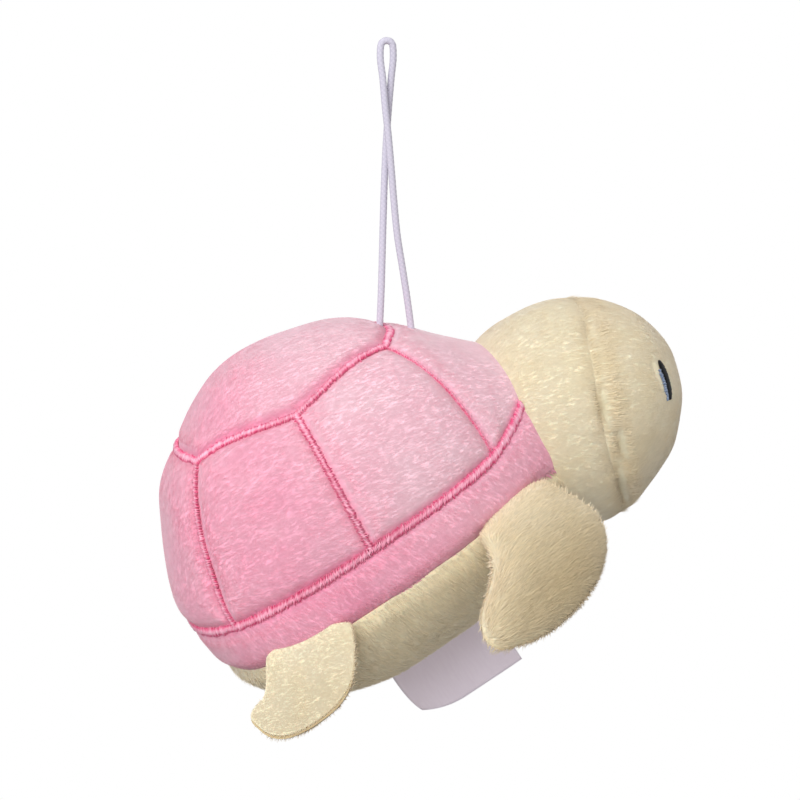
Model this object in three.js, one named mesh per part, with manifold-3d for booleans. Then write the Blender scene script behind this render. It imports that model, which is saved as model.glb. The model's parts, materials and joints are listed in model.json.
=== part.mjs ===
// A small plush turtle that hangs on an elastic cord loop: a quilted pink shell, a cream belly,
// head and flippers, all sewn from short-pile cloth over soft stuffing.
// Millimetres, +Z up, +X towards the nose, +Y to the turtle's left.
// The origin is the top of the hanging loop, and the turtle hangs below it with its nose up.
import * as THREE from 'three';
import { mergeVertices } from 'three/addons/utils/BufferGeometryUtils.js';
import Module from 'manifold-3d';

const wasm = await Module();
wasm.setup();
const radians = THREE.MathUtils.degToRad;

// Driving dimensions, in millimetres. The body's own frame has its origin in the middle of the
// body, level with the stitched rim line, with x to the nose along the body.
const bodyLength = 89;
const bodyWidth = 77;
const widestLevel = -6.4;
const domeRise = 49.7;
const bellyDrop = 29.9;
const seamLevel = -11.8;
const clothThickness = 1.4;
const gap = 0.3;
const fillGap = 0.9;

const headLength = 59.2;
const headWidth = 52;
const headHeight = 51.4;
const headAhead = 51.5;
const headBelow = 8.8;

const neckAhead = 44;
const neckFlare = 5;
const neckFlareReach = 14;
const rimLift = 4.3;

const quiltDepth = 2;
const quiltFloor = 1.2;
const quiltBank = 4;
const quiltSwell = 9;
const columnStep = 12;

const scuteFrontAhead = 26.2;
const scuteFrontHalf = 16.8;
const scuteFrontBow = 4.3;
const scuteSideAhead = 0.1;
const scuteSideHalf = 25.9;
const scuteSideBow = 1.6;
const scuteRearBehind = 24.1;
const scuteRearHalf = 15.8;
const scuteRearBow = 4;

const stitchWidth = 1.7;
const stitchHeight = 0.8;

const frontSpan = 43;
const frontReach = 24.6;
const frontThickness = 10.5;
const rearSpan = 30;
const rearReach = 14.5;
const rearThickness = 3.4;

const eyeHeight = 9.2;
const eyeWidth = 2.9;
const eyeThickness = 0.7;
const glintHeight = 5.6;
const glintWidth = 0.9;

const cordDiameter = 1.6;
const knotRadius = 2.2;
const loopAhead = 7.9;
const loopAbove = 105.7;

const labelLength = 27.3;
const labelDrop = 15.7;
const labelTuck = 3;
const labelThickness = 0.5;
const labelCorner = 8;
const weldDistance = 1e-5;

// Angles, in degrees.
const noseUp = 32.7;
const neckLean = 6.8;
const headTilt = 3.4;
const faceDroop = 20;
const faceSeamTurn = 72;
const faceSeamBow = 9;
const eyeOut = 36.5;
const eyeDown = 5;
const rimCornerTurns = [48.1, 93.9, 140.2];
const frontFlipperTurn = 53.3;
const rearFlipperTurn = 121;
const flipperDroop = 60;
const flipperLift = 60;
const flipperPress = 10;
const labelSwing = 50;
const fillRises = [68, 50, 34, 20, 6, -8, -24, -42, -64];

// Powers of the rounded forms: 2 is an ellipse, and more is squarer.
const planPower = 2.6;
const domePower = 2.2;
const bellyPower = 2.1;
const lensSpreadPower = 2.4;
const lensCrownPower = 0.6;

// Counts and shares.
const roundSteps = 28;
const fillSteps = 36;
const outlineSteps = 24;
const eyeSteps = 12;
const cornerSteps = 6;
const cordSteps = 80;
const cordSides = 8;
const knotSteps = 48;
const knotSides = 6;
const quiltShares = [1, 0.35, 0];
const topRowShares = [0.28, 0.55];
const bellyRowShares = [0.22, 0.45, 0.7];
const faceRowShares = [0.3, 0.58, 0.8];
const napeRowShares = [0.28, 0.46, 0.64, 0.82];
const lensRingShares = [0.4, 0.72, 0.92];
const stitchStepShares = [0, 0.2, 0.4, 0.6, 0.8, 1];
const padRingShares = { out: 0.7, rise: 0.85, edgeRise: 0.4 };
const knotOutShare = 1.5;
const swellFitShare = 0.9;
const lastShare = 1 - 1e-9;

// The colours of the cloths, threads and cord.
const finish = (color, roughness) => new THREE.MeshStandardMaterial({ color, roughness, metalness: 0 });
const pinkPlush = finish(0xf2a9bf, 0.95);
const creamPlush = finish(0xece0b8, 0.95);
const pinkThread = finish(0xe0709a, 0.6);
const blackThread = finish(0x14161c, 0.5);
const blueThread = finish(0x8ea2c4, 0.6);
const fibreFill = finish(0xf4f2ee, 1);
const whiteElastic = finish(0xe4e0ec, 0.6);
const whiteRibbon = finish(0xd9d3dd, 0.5);

// Closed meshes and solids.
function toSolid(geometry) {
  const bare = geometry.clone();
  for (const name of Object.keys(bare.attributes)) {
    if (name !== 'position') bare.deleteAttribute(name);
  }
  const merged = mergeVertices(bare, weldDistance);
  return new wasm.Manifold(new wasm.Mesh({
    numProp: 3,
    vertProperties: new Float32Array(merged.attributes.position.array),
    triVerts: new Uint32Array(merged.index.array),
  }));
}

function toGeometry(solid) {
  const mesh = solid.getMesh();
  const geometry = new THREE.BufferGeometry();
  geometry.setAttribute('position', new THREE.BufferAttribute(new Float32Array(mesh.vertProperties), 3));
  geometry.setIndex(new THREE.BufferAttribute(new Uint32Array(mesh.triVerts), 1));
  geometry.computeVertexNormals();
  return geometry;
}

// A closed skin over rings of points that run anticlockwise seen from the first ring's side.
// A ring of one point is a pole, and every other ring has the same number of points.
function skin(rings) {
  const positions = [];
  const triangles = [];
  const starts = rings.map((ring) => {
    const start = positions.length / 3;
    for (const point of ring) positions.push(point.x, point.y, point.z);
    return start;
  });
  for (let row = 0; row + 1 < rings.length; row += 1) {
    const upper = rings[row];
    const lower = rings[row + 1];
    const count = Math.max(upper.length, lower.length);
    for (let column = 0; column < count; column += 1) {
      const next = (column + 1) % count;
      const a = starts[row] + (upper.length > 1 ? column : 0);
      const b = starts[row] + (upper.length > 1 ? next : 0);
      const c = starts[row + 1] + (lower.length > 1 ? column : 0);
      const d = starts[row + 1] + (lower.length > 1 ? next : 0);
      if (upper.length > 1) triangles.push(a, c, b);
      if (lower.length > 1) triangles.push(b, c, d);
    }
  }
  const geometry = new THREE.BufferGeometry();
  geometry.setAttribute('position', new THREE.Float32BufferAttribute(positions, 3));
  geometry.setIndex(triangles);
  return geometry;
}

// The body's rounded form. turn goes round the body from the nose side, and rise goes from a
// quarter turn at the top of the dome, through nothing at the widest level, to the belly.
const powered = (value, power) => Math.sign(value) * Math.abs(value) ** power;

function bodyForm(turn, rise, inset) {
  const power = rise > 0 ? domePower : bellyPower;
  const height = (rise > 0 ? domeRise : bellyDrop) - inset;
  const out = Math.max(Math.cos(rise), 0) ** (2 / power);
  const across = Math.abs(Math.cos(turn)) ** planPower + Math.abs(Math.sin(turn)) ** planPower;
  const around = across ** (-1 / planPower);
  return new THREE.Vector3(
    (bodyLength / 2 - inset) * out * around * Math.cos(turn),
    (bodyWidth / 2 - inset) * out * around * Math.sin(turn),
    widestLevel + height * powered(Math.sin(rise), 2 / power),
  );
}

function riseAtHeight(height) {
  const up = height - widestLevel;
  if (up > 0) return Math.asin(Math.min(up / domeRise, 1) ** (domePower / 2));
  return -Math.asin(Math.min(-up / bellyDrop, 1) ** (bellyPower / 2));
}

function bodyNormal(turn, rise) {
  const step = 1e-3;
  const around = bodyForm(turn + step, rise, 0).sub(bodyForm(turn - step, rise, 0));
  const upward = bodyForm(turn, rise + step, 0).sub(bodyForm(turn, rise - step, 0));
  return around.cross(upward).normalize();
}

// Where a point of the plan lies on the dome.
function domeAt(ahead, left) {
  const x = ahead / (bodyLength / 2);
  const y = left / (bodyWidth / 2);
  const out = (Math.abs(x) ** planPower + Math.abs(y) ** planPower) ** (1 / planPower);
  return { turn: Math.atan2(y, x), rise: Math.acos(Math.min(out ** (domePower / 2), 1)) };
}

// The head is an ellipsoid, a little tilted, with the face's axis drooping from the body's.
const headCentre = new THREE.Vector3(headAhead, 0, -headBelow);
const headTurn = new THREE.Quaternion().setFromAxisAngle(new THREE.Vector3(0, 1, 0), -radians(headTilt));

function onHead(direction, inset) {
  const local = direction.clone().applyQuaternion(headTurn.clone().invert()).normalize();
  const reach = 1 / Math.hypot(
    local.x / (headLength / 2 - inset),
    local.y / (headWidth / 2 - inset),
    local.z / (headHeight / 2 - inset),
  );
  return headCentre.clone().addScaledVector(direction.clone().normalize(), reach);
}

function outsideHead(point) {
  const direction = point.clone().sub(headCentre);
  return direction.length() - onHead(direction, 0).distanceTo(headCentre);
}

// How near a place on the body is to the head, from 0 to 1.
function neckShare(turn, rise) {
  const away = Math.max(outsideHead(bodyForm(turn, rise, 0)), 0);
  return THREE.MathUtils.clamp(1 - away / neckFlareReach, 0, 1) ** 2;
}

// The body with its neck: near the neck the shell's edge is drawn forward along the head.
function neckedForm(turn, rise, inset) {
  const point = bodyForm(turn, rise, inset);
  point.x += neckFlare * neckShare(turn, rise);
  return point;
}

// The six-sided middle scute, and the corners of the rim where its six lines end.
const scuteCorners = [
  [scuteFrontAhead, scuteFrontHalf],
  [scuteSideAhead, scuteSideHalf],
  [-scuteRearBehind, scuteRearHalf],
  [-scuteRearBehind, -scuteRearHalf],
  [scuteSideAhead, -scuteSideHalf],
  [scuteFrontAhead, -scuteFrontHalf],
].map(([ahead, left]) => new THREE.Vector2(ahead, left));
const sides = scuteCorners.length;
const frontSide = sides - 1;
const rearSide = sides / 2 - 1;
const rimCorners = [
  ...rimCornerTurns.map(radians),
  ...rimCornerTurns.map((turn) => 2 * Math.PI - radians(turn)).reverse(),
];

function scuteEdge(station) {
  const side = Math.floor(station) % sides;
  const share = station - Math.floor(station);
  const point = scuteCorners[side].clone().lerp(scuteCorners[(side + 1) % sides], share);
  const swell = 1 - (2 * share - 1) ** 2;
  if (side === frontSide) point.x += scuteFrontBow * swell;
  else if (side === rearSide) point.x -= scuteRearBow * swell;
  else point.y += Math.sign(point.y) * scuteSideBow * swell;
  return point;
}

function rimTurn(station) {
  const side = Math.floor(station) % sides;
  const share = station - Math.floor(station);
  const end = rimCorners[(side + 1) % sides] + (side === frontSide ? 2 * Math.PI : 0);
  return THREE.MathUtils.lerp(rimCorners[side], end, share);
}

// level runs 0 to 1 from the top of the dome to the scute's edge, to 2 at the rim line,
// to 3 at the seam, and to 4 at the bottom of the belly.
const rimLevel = 2;
const bellySeam = 3;
const quarterTurn = Math.PI / 2;

// The rim line is level, but climbs a little where it meets the head.
const rimHeight = (turn) => rimLift * neckShare(turn, riseAtHeight(0));

function quiltPlace(station, level) {
  if (level <= 1) {
    const edge = scuteEdge(station);
    return domeAt(edge.x * level, edge.y * level);
  }
  const turn = rimTurn(station);
  if (level <= rimLevel) {
    const edge = scuteEdge(station);
    const start = domeAt(edge.x, edge.y);
    const share = level - 1;
    const swing = Math.atan2(Math.sin(turn - start.turn), Math.cos(turn - start.turn));
    const end = riseAtHeight(rimHeight(turn));
    return { turn: start.turn + swing * share, rise: THREE.MathUtils.lerp(start.rise, end, share) };
  }
  if (level <= bellySeam) {
    const height = THREE.MathUtils.lerp(rimHeight(turn), seamLevel, level - rimLevel);
    return { turn, rise: riseAtHeight(height) };
  }
  return { turn, rise: THREE.MathUtils.lerp(riseAtHeight(seamLevel), -quarterTurn, level - bellySeam) };
}

function quiltPoint(station, level, inset) {
  const { turn, rise } = quiltPlace(station, level);
  return neckedForm(turn, rise, inset);
}

function pathLength(pointAt, steps = outlineSteps) {
  let length = 0;
  for (let step = 0; step < steps; step += 1) {
    length += pointAt(step / steps).distanceTo(pointAt((step + 1) / steps));
  }
  return length;
}

const scuteReach = pathLength((share) => bodyForm(quarterTurn, THREE.MathUtils.lerp(
  quarterTurn,
  domeAt(scuteSideAhead, scuteSideHalf).rise,
  share,
), 0));
const flankReach = pathLength((share) => quiltPoint(1, 1 + share, 0));
const bandReach = -seamLevel;

// The quilting is deepest at a stitched line and dies out across the swell beside it.
const quiltOffsets = [quiltFloor, quiltBank, quiltSwell];
const besideLine = quiltOffsets.map((offset, index) => ({ offset, depth: quiltShares[index] }));

const rowsAfter = (level, reach) => besideLine.map(({ offset, depth }) => ({
  level: level + offset / reach,
  depth,
}));
const rowsBefore = (level, reach) => rowsAfter(level, -reach).reverse();

const carapaceRows = [
  ...topRowShares.map((level) => ({ level, depth: 0 })),
  ...rowsBefore(1, scuteReach),
  ...rowsAfter(1, flankReach),
  ...rowsBefore(rimLevel, flankReach),
  ...rowsAfter(rimLevel, bandReach).slice(0, 2),
  { level: bellySeam - gap / 2 / bandReach, depth: 0 },
];
const bellyRows = [0, ...bellyRowShares].map((share) => ({
  level: bellySeam + gap / 2 / bellyDrop + share,
  depth: 0,
}));

// Each side of the scute, from corner to corner, along its own edge and along the rim.
const sideSpans = scuteCorners.map((corner, side) => {
  const along = (level) => pathLength((share) => quiltPoint(side + Math.min(share, lastShare), level, 0));
  return { edge: along(1), rim: along(rimLevel) };
});

function columns(level) {
  const lined = level > 1 && level < rimLevel ? 1 : 0;
  const outward = THREE.MathUtils.clamp(level - 1, 0, 1);
  return sideSpans.flatMap(({ edge, rim }, side) => {
    const length = THREE.MathUtils.lerp(edge, rim, outward);
    const fit = Math.min(1, (swellFitShare * length) / (2 * quiltSwell));
    const near = besideLine.map(({ offset, depth }) => ({
      share: (fit * offset) / length,
      depth: depth * lined,
    }));
    const far = [...near].reverse().map(({ share, depth }) => ({ share: 1 - share, depth }));
    const middles = Math.max(Math.round((rim - 2 * quiltSwell) / columnStep), 1);
    const between = Array.from({ length: middles }, (_, index) => ({
      share: THREE.MathUtils.lerp(near.at(-1).share, far[0].share, (index + 1) / (middles + 1)),
      depth: 0,
    }));
    return [...near, ...between, ...far].map(({ share, depth }) => ({ station: side + share, depth }));
  });
}

function quiltRing(row, inset) {
  return columns(row.level).map(({ station, depth }) => quiltPoint(
    station,
    row.level,
    inset + quiltDepth * Math.max(row.depth, depth),
  ));
}

const crown = (inset) => [neckedForm(0, quarterTurn, inset)];
const keel = (inset) => [neckedForm(0, -quarterTurn, inset)];

function carapaceShell() {
  const outer = carapaceRows.map((row) => quiltRing(row, 0));
  const inner = carapaceRows.map((row) => quiltRing(row, clothThickness)).reverse();
  return skin([crown(0), ...outer, ...inner, crown(clothThickness)]);
}

function bellyShell() {
  const outer = bellyRows.map((row) => quiltRing(row, 0));
  const inner = bellyRows.map((row) => quiltRing(row, clothThickness));
  return skin([keel(clothThickness), ...inner.reverse(), ...outer, keel(0)]);
}

// The stuffing is a smooth ball that the stitched lines press on.
function bodyFill(inset) {
  const rings = fillRises.map(radians).map((rise) => {
    const ring = [];
    for (let step = 0; step < fillSteps; step += 1) {
      ring.push(neckedForm((2 * Math.PI * step) / fillSteps, rise, inset));
    }
    return ring;
  });
  return skin([crown(inset), ...rings, keel(inset)]);
}

// Everything ahead of the neck's plane, moved ahead by some shift.
function aheadOfNeck(shift) {
  const size = 2 * bodyLength;
  const box = new THREE.BoxGeometry(size, size, size);
  box.translate(size / 2, 0, 0);
  box.rotateY(radians(neckLean));
  box.translate(neckAhead + shift, 0, 0);
  return toSolid(box);
}

// The body that the head and flippers are cut by, as fine as the covers, grown by a clearance.
function bodyBlock(clearance) {
  const levels = [...carapaceRows, ...bellyRows].map(({ level }) => level);
  const rows = levels.map((level) => quiltRing({ level, depth: 0 }, -clearance));
  return toSolid(skin([crown(-clearance), ...rows, keel(-clearance)])).subtract(aheadOfNeck(clearance));
}

// The head's rings run from the nose, back over the face seam, to the nape inside the body.
const faceAxis = new THREE.Vector3(Math.cos(radians(faceDroop)), 0, -Math.sin(radians(faceDroop)));
const faceUp = new THREE.Vector3(Math.sin(radians(faceDroop)), 0, Math.cos(radians(faceDroop)));
const faceLeft = new THREE.Vector3(0, 1, 0);
const seamGrip = gap / 2 / (headLength / 2);

function headDirection(around, back) {
  return faceAxis.clone().multiplyScalar(Math.cos(back))
    .addScaledVector(faceUp, Math.sin(back) * Math.cos(around))
    .addScaledVector(faceLeft, Math.sin(back) * Math.sin(around));
}

const faceSeam = (around) => radians(faceSeamTurn) + radians(faceSeamBow) * Math.sin(around) ** 2;
const besideSeam = [quiltFloor, quiltBank].map((offset, index) => ({
  turn: offset / (headLength / 2),
  depth: quiltShares[index],
}));
const seamDepth = quiltDepth / 2;
const faceRows = [
  ...faceRowShares.map((share) => ({ at: (around) => faceSeam(around) * share, depth: 0 })),
  ...[...besideSeam].reverse().map(({ turn, depth }) => ({
    at: (around) => faceSeam(around) - turn,
    depth,
  })),
  { at: (around) => faceSeam(around) - seamGrip, depth: 1 },
];
const napeRows = [
  { at: (around) => faceSeam(around) + seamGrip, depth: 1 },
  ...besideSeam.map(({ turn, depth }) => ({ at: (around) => faceSeam(around) + turn, depth })),
  ...napeRowShares.map((share) => ({
    at: (around) => THREE.MathUtils.lerp(faceSeam(around), Math.PI, share),
    depth: 0,
  })),
];

function headRing(row, inset) {
  const ring = [];
  for (let step = 0; step < roundSteps; step += 1) {
    const around = -(2 * Math.PI * step) / roundSteps;
    ring.push(onHead(headDirection(around, row.at(around)), inset + seamDepth * row.depth));
  }
  return ring;
}

const headPole = (back, inset) => [onHead(headDirection(0, back), inset)];

function faceShell() {
  const outer = faceRows.map((row) => headRing(row, 0));
  const inner = faceRows.map((row) => headRing(row, clothThickness)).reverse();
  return skin([headPole(0, 0), ...outer, ...inner, headPole(0, clothThickness)]);
}

function napeShell() {
  const outer = napeRows.map((row) => headRing(row, 0));
  const inner = napeRows.map((row) => headRing(row, clothThickness)).reverse();
  return skin([headPole(Math.PI, clothThickness), ...inner, ...outer, headPole(Math.PI, 0)]);
}

function headBall(inset) {
  const face = [...faceRowShares, 1].map((share) => ({
    at: (around) => faceSeam(around) * share,
    depth: 0,
  }));
  const nape = napeRows.slice(-napeRowShares.length);
  const rings = [...face, ...nape].map((row) => headRing(row, inset));
  return skin([headPole(0, inset), ...rings, headPole(Math.PI, inset)]);
}

// Satin stitching: a low ridge of thread along a line of the quilting. In a closed ridge the last
// section joins the first.
function stitchRidge(places, closed) {
  const floor = quiltDepth - gap;
  const lows = places.map(({ station, level }) => quiltPoint(station, level, floor));
  const highs = places.map(({ station, level }) => quiltPoint(station, level, floor - stitchHeight));
  const count = places.length;
  const sections = lows.map((low, index) => {
    const before = lows[closed ? (index + count - 1) % count : Math.max(index - 1, 0)];
    const after = lows[closed ? (index + 1) % count : Math.min(index + 1, count - 1)];
    const along = after.clone().sub(before).normalize();
    const up = highs[index].clone().sub(low).normalize();
    const across = new THREE.Vector3().crossVectors(along, up).normalize().multiplyScalar(stitchWidth / 2);
    return [
      low.clone().sub(across),
      low.clone().add(across),
      low.clone().add(across).addScaledVector(up, stitchHeight / 2),
      low.clone().addScaledVector(up, stitchHeight),
      low.clone().sub(across).addScaledVector(up, stitchHeight / 2),
    ];
  });
  if (closed) return skin([...sections, sections[0]]);
  const middle = (section) => [section[0].clone().lerp(section[1], 0.5).lerp(section[3], 0.5)];
  return skin([middle(sections[0]), ...sections, middle(sections[count - 1])]);
}

// A ring's sections stand where the quilting's own points are, and at its corners.
function ringPlaces(level) {
  const corners = scuteCorners.map((corner, side) => side);
  const stations = [...corners, ...columns(level).map(({ station }) => station)];
  return stations.sort((one, other) => one - other).map((station) => ({ station, level }));
}

function scuteStitching() {
  let solid = toSolid(stitchRidge(ringPlaces(1), true));
  const last = rimLevel - (stitchWidth / 2 + gap) / flankReach;
  for (let side = 0; side < sides; side += 1) {
    const places = stitchStepShares.map((share) => ({
      station: side,
      level: THREE.MathUtils.lerp(1, last, share),
    }));
    solid = solid.add(toSolid(stitchRidge(places, false)));
  }
  return solid;
}

// Flippers lie in their own frame: x along the root, y out to the tip, z through the thickness.
const frontOutlineShares = [
  [0.205, -0.06], [0.251, 0.134], [0.282, 0.338], [0.286, 0.5], [0.242, 0.687], [0.163, 0.817],
  [0.047, 0.923], [-0.116, 0.992], [-0.293, 1], [-0.467, 0.959], [-0.591, 0.878], [-0.679, 0.792],
  [-0.707, 0.679], [-0.67, 0.548], [-0.605, 0.443], [-0.481, 0.345], [-0.372, 0.235],
  [-0.302, 0.085], [-0.258, -0.06],
];
const frontMiddleShare = [-0.158, 0.556];
const rearOutlineShares = [
  [0.314, -0.09], [0.307, 0.093], [0.27, 0.299], [0.21, 0.539], [0.13, 0.732], [0.004, 0.89],
  [-0.17, 0.98], [-0.356, 1], [-0.503, 0.946], [-0.603, 0.808], [-0.656, 0.622], [-0.68, 0.458],
  [-0.63, 0.36], [-0.53, 0.279], [-0.466, 0.1], [-0.41, -0.09],
];
const rearMiddleShare = [-0.16, 0.44];

function lensOutline(shares, span, reach) {
  const points = shares.map(([along, out]) => new THREE.Vector3(along * span, out * reach, 0));
  return new THREE.CatmullRomCurve3(points, true, 'centripetal').getSpacedPoints(outlineSteps).slice(0, -1);
}

function lens({ shares, middleShare, span, reach, thickness, edgeShare }) {
  const outline = lensOutline(shares, span, reach);
  const middle = new THREE.Vector3(middleShare[0] * span, middleShare[1] * reach, 0);
  const height = (share, inset) => {
    const crownShare = edgeShare + (1 - edgeShare) * (1 - share ** lensSpreadPower) ** lensCrownPower;
    return Math.max((thickness / 2) * crownShare - inset, gap / 2);
  };
  const ring = (share, inset, side, floor) => outline.map((edge) => {
    const spoke = edge.clone().sub(middle);
    const length = spoke.length() - inset;
    const point = middle.clone().addScaledVector(spoke.normalize(), length * share);
    point.z = side * (floor ?? height(share, inset));
    return point;
  });
  const pole = (inset, side, floor) => {
    const point = middle.clone();
    point.z = side * (floor ?? height(0, inset));
    return [point];
  };
  return { ring, pole };
}

// One face of a flipper as a cover of cloth that is open towards the stuffing.
function lensCover(form) {
  const { ring, pole } = lens(form);
  const outer = lensRingShares.map((share) => ring(share, 0, 1));
  const inner = lensRingShares.map((share) => ring(share, clothThickness, 1)).reverse();
  const rim = [ring(1, 0, 1, gap / 2), ring(1, clothThickness, 1, gap / 2)];
  return skin([pole(0, 1), ...outer, ...rim, ...inner, pole(clothThickness, 1)]);
}

function lensFill(form) {
  const { ring, pole } = lens(form);
  const inset = clothThickness + gap;
  const upper = lensRingShares.map((share) => ring(share, inset, 1));
  const lower = lensRingShares.map((share) => ring(share, inset, -1)).reverse();
  return skin([pole(inset, 1), ...upper, ring(1, inset, 1, 0), ...lower, pole(inset, -1)]);
}

// One face of a flat flipper, a single layer of cloth.
function lensLayer(form) {
  const { ring, pole } = lens(form);
  const upper = [...lensRingShares, 1].map((share) => ring(share, 0, 1));
  const lower = [1, ...[...lensRingShares].reverse()].map((share) => ring(share, 0, 1, gap / 2));
  return skin([pole(0, 1), ...upper, ...lower, pole(0, 1, gap / 2)]);
}

const flipped = (solid) => solid.mirror([0, 0, 1]);

const frontForm = {
  shares: frontOutlineShares,
  middleShare: frontMiddleShare,
  span: frontSpan,
  reach: frontReach,
  thickness: frontThickness,
  edgeShare: 0,
};
const rearForm = {
  shares: rearOutlineShares,
  middleShare: rearMiddleShare,
  span: rearSpan,
  reach: rearReach,
  thickness: rearThickness,
  edgeShare: 0.75,
};

// The right flipper's frame on the seam: x along the seam, y out and down, z out of its under face.
function flipperFrame(turn) {
  const rise = riseAtHeight(seamLevel);
  const root = neckedForm(-radians(turn), rise, -gap);
  const normal = bodyNormal(-radians(turn), rise).setZ(0).normalize();
  const up = new THREE.Vector3(0, 0, 1);
  const along = new THREE.Vector3().crossVectors(normal, up).negate();
  const droop = radians(flipperDroop);
  const out = normal.clone().multiplyScalar(Math.cos(droop)).addScaledVector(up, -Math.sin(droop));
  const face = new THREE.Vector3().crossVectors(along, out);
  return { root, along, matrix: new THREE.Matrix4().makeBasis(along, out, face).setPosition(root) };
}

function moved(geometry, matrix) {
  return geometry.clone().applyMatrix4(matrix);
}

function turnedAbout(point, axis, angle) {
  return new THREE.Matrix4().makeTranslation(point.x, point.y, point.z)
    .multiply(new THREE.Matrix4().makeRotationAxis(axis, angle))
    .multiply(new THREE.Matrix4().makeTranslation(-point.x, -point.y, -point.z));
}

// What a hinged piece must stay clear of: the body, seen from the piece at each step of its swing.
function sweptBody(point, axis, from, to) {
  const turns = [from, (from + to) / 2, 0, to];
  const solids = [toGeometry(bodyBlock(gap)), headBall(-gap)];
  return turns.flatMap((turn) => {
    const back = turnedAbout(point, axis, radians(-turn));
    return solids.map((solid) => toSolid(moved(solid, back)));
  });
}

function clearOf(solid, blocks) {
  return blocks.reduce((left, block) => left.subtract(block), solid);
}

const group = new THREE.Group();
const body = new THREE.Group();
body.rotation.y = -radians(noseUp);
body.position.set(-loopAhead, 0, -loopAbove);
body.updateMatrixWorld(true);
group.add(body);

function addPiece(parent, name, shape, material) {
  const geometry = shape.isBufferGeometry ? shape : toGeometry(shape);
  const mesh = new THREE.Mesh(geometry, material);
  mesh.name = name;
  parent.add(mesh);
  return mesh;
}

// The cord: up out of the shell, over the loop's top, and down into the shell again. Its two
// strands pass each other once. The points are in the part's frame.
const cordRoute = [
  [-1.7, 0, -65.3], [-1.55, 0, -61.5], [-1.25, 0.1, -55], [-1, 0.3, -47.5], [-0.65, 0.7, -38],
  [-0.3, 1, -29.6], [0.1, 1.1, -22], [0.6, 1, -15], [1.1, 0.6, -8.5], [1.5, 0.15, -3.2],
  [1.1, 0, -0.5], [0, 0, 0], [-1.1, 0, -0.5], [-1.5, -0.15, -3.2], [-1, -0.6, -8.5],
  [-0.5, -1, -15], [0.1, -1.1, -20.5], [0.8, -1, -28], [1.5, -0.8, -36], [2.3, -0.5, -43.4],
  [3.5, -0.25, -50.6], [4.6, -0.1, -57.5], [5.4, 0, -63.2], [5.8, 0, -66.8],
].map((point) => new THREE.Vector3(...point));

function hangingCord() {
  const section = new THREE.Shape();
  for (let side = 0; side < cordSides; side += 1) {
    const angle = (2 * Math.PI * side) / cordSides;
    const method = side === 0 ? 'moveTo' : 'lineTo';
    section[method]((cordDiameter / 2) * Math.cos(angle), (cordDiameter / 2) * Math.sin(angle));
  }
  section.closePath();
  const path = new THREE.CatmullRomCurve3(cordRoute, false, 'centripetal');
  return new THREE.ExtrudeGeometry(section, { steps: cordSteps, extrudePath: path });
}

// A hole in the cloth where a strand of the cord goes in, along the strand's last points.
function cordHole(end, next) {
  const toBody = body.matrixWorld.clone().invert();
  const from = end.clone().applyMatrix4(toBody);
  const along = next.clone().applyMatrix4(toBody).sub(from);
  const hole = new THREE.CylinderGeometry(
    cordDiameter / 2 + gap,
    cordDiameter / 2 + gap,
    2 * along.length() + 2 * quiltDepth,
    cordSides,
  );
  hole.applyQuaternion(new THREE.Quaternion().setFromUnitVectors(
    new THREE.Vector3(0, 1, 0),
    along.clone().normalize(),
  ));
  hole.translate(from.x + along.x / 2, from.y + along.y / 2, from.z + along.z / 2);
  return toSolid(hole);
}

const cordHoles = [
  cordHole(cordRoute[0], cordRoute[1]),
  cordHole(cordRoute[cordRoute.length - 1], cordRoute[cordRoute.length - 2]),
];

// The knot that ties the two ends together under the cloth, and the pocket it lies in.
const knotPlace = domeAt(scuteFrontAhead + scuteFrontBow, 0);
const knotHalf = knotRadius / 2 + cordDiameter / 2;
const knotInset = clothThickness + quiltDepth + 2 * gap + knotHalf;
const knotCentre = neckedForm(knotPlace.turn, knotPlace.rise, knotInset);
const knotTurn = new THREE.Quaternion().setFromUnitVectors(
  new THREE.Vector3(0, 0, 1),
  bodyNormal(knotPlace.turn, knotPlace.rise),
);

function cordKnot() {
  const knot = new THREE.TorusKnotGeometry(knotRadius, cordDiameter / 2, knotSteps, knotSides);
  knot.applyQuaternion(knotTurn);
  return toSolid(knot.translate(knotCentre.x, knotCentre.y, knotCentre.z));
}

function knotPocket() {
  const across = knotOutShare * knotRadius + cordDiameter / 2 + 2 * gap;
  const depth = 2 * (knotHalf + 2 * gap) + quiltDepth;
  const pocket = new THREE.CylinderGeometry(across, across, depth, roundSteps / 2);
  pocket.rotateX(quarterTurn);
  pocket.translate(0, 0, gap + quiltDepth / 2);
  pocket.applyQuaternion(knotTurn);
  return toSolid(pocket.translate(knotCentre.x, knotCentre.y, knotCentre.z));
}

// An embroidered oval on the face: a low pad of thread that follows the head.
function facePad(sign, across, along, offset) {
  const out = radians(eyeOut);
  const down = radians(eyeDown);
  const ahead = new THREE.Vector3(
    Math.cos(out) * Math.cos(down),
    sign * Math.sin(out) * Math.cos(down),
    -Math.sin(down),
  );
  const centre = onHead(ahead, 0);
  const upward = new THREE.Vector3(0, 0, 1).addScaledVector(ahead, -ahead.z).normalize();
  const sideways = new THREE.Vector3().crossVectors(upward, ahead).multiplyScalar(sign);
  const at = (share, angle, lift) => {
    const point = centre.clone()
      .addScaledVector(sideways, offset + (across / 2) * share * Math.cos(angle))
      .addScaledVector(upward, (along / 2) * share * Math.sin(angle));
    return onHead(point.sub(headCentre), -gap - lift);
  };
  const ring = (share, lift) => {
    const points = [];
    for (let step = 0; step < eyeSteps; step += 1) {
      points.push(at(share, (sign * 2 * Math.PI * step) / eyeSteps, lift));
    }
    return points;
  };
  return skin([
    [at(0, 0, eyeThickness)],
    ring(padRingShares.out, eyeThickness * padRingShares.rise),
    ring(1, eyeThickness * padRingShares.edgeRise),
    ring(1, 0),
    ring(padRingShares.out, 0),
    [at(0, 0, 0)],
  ]);
}

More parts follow.
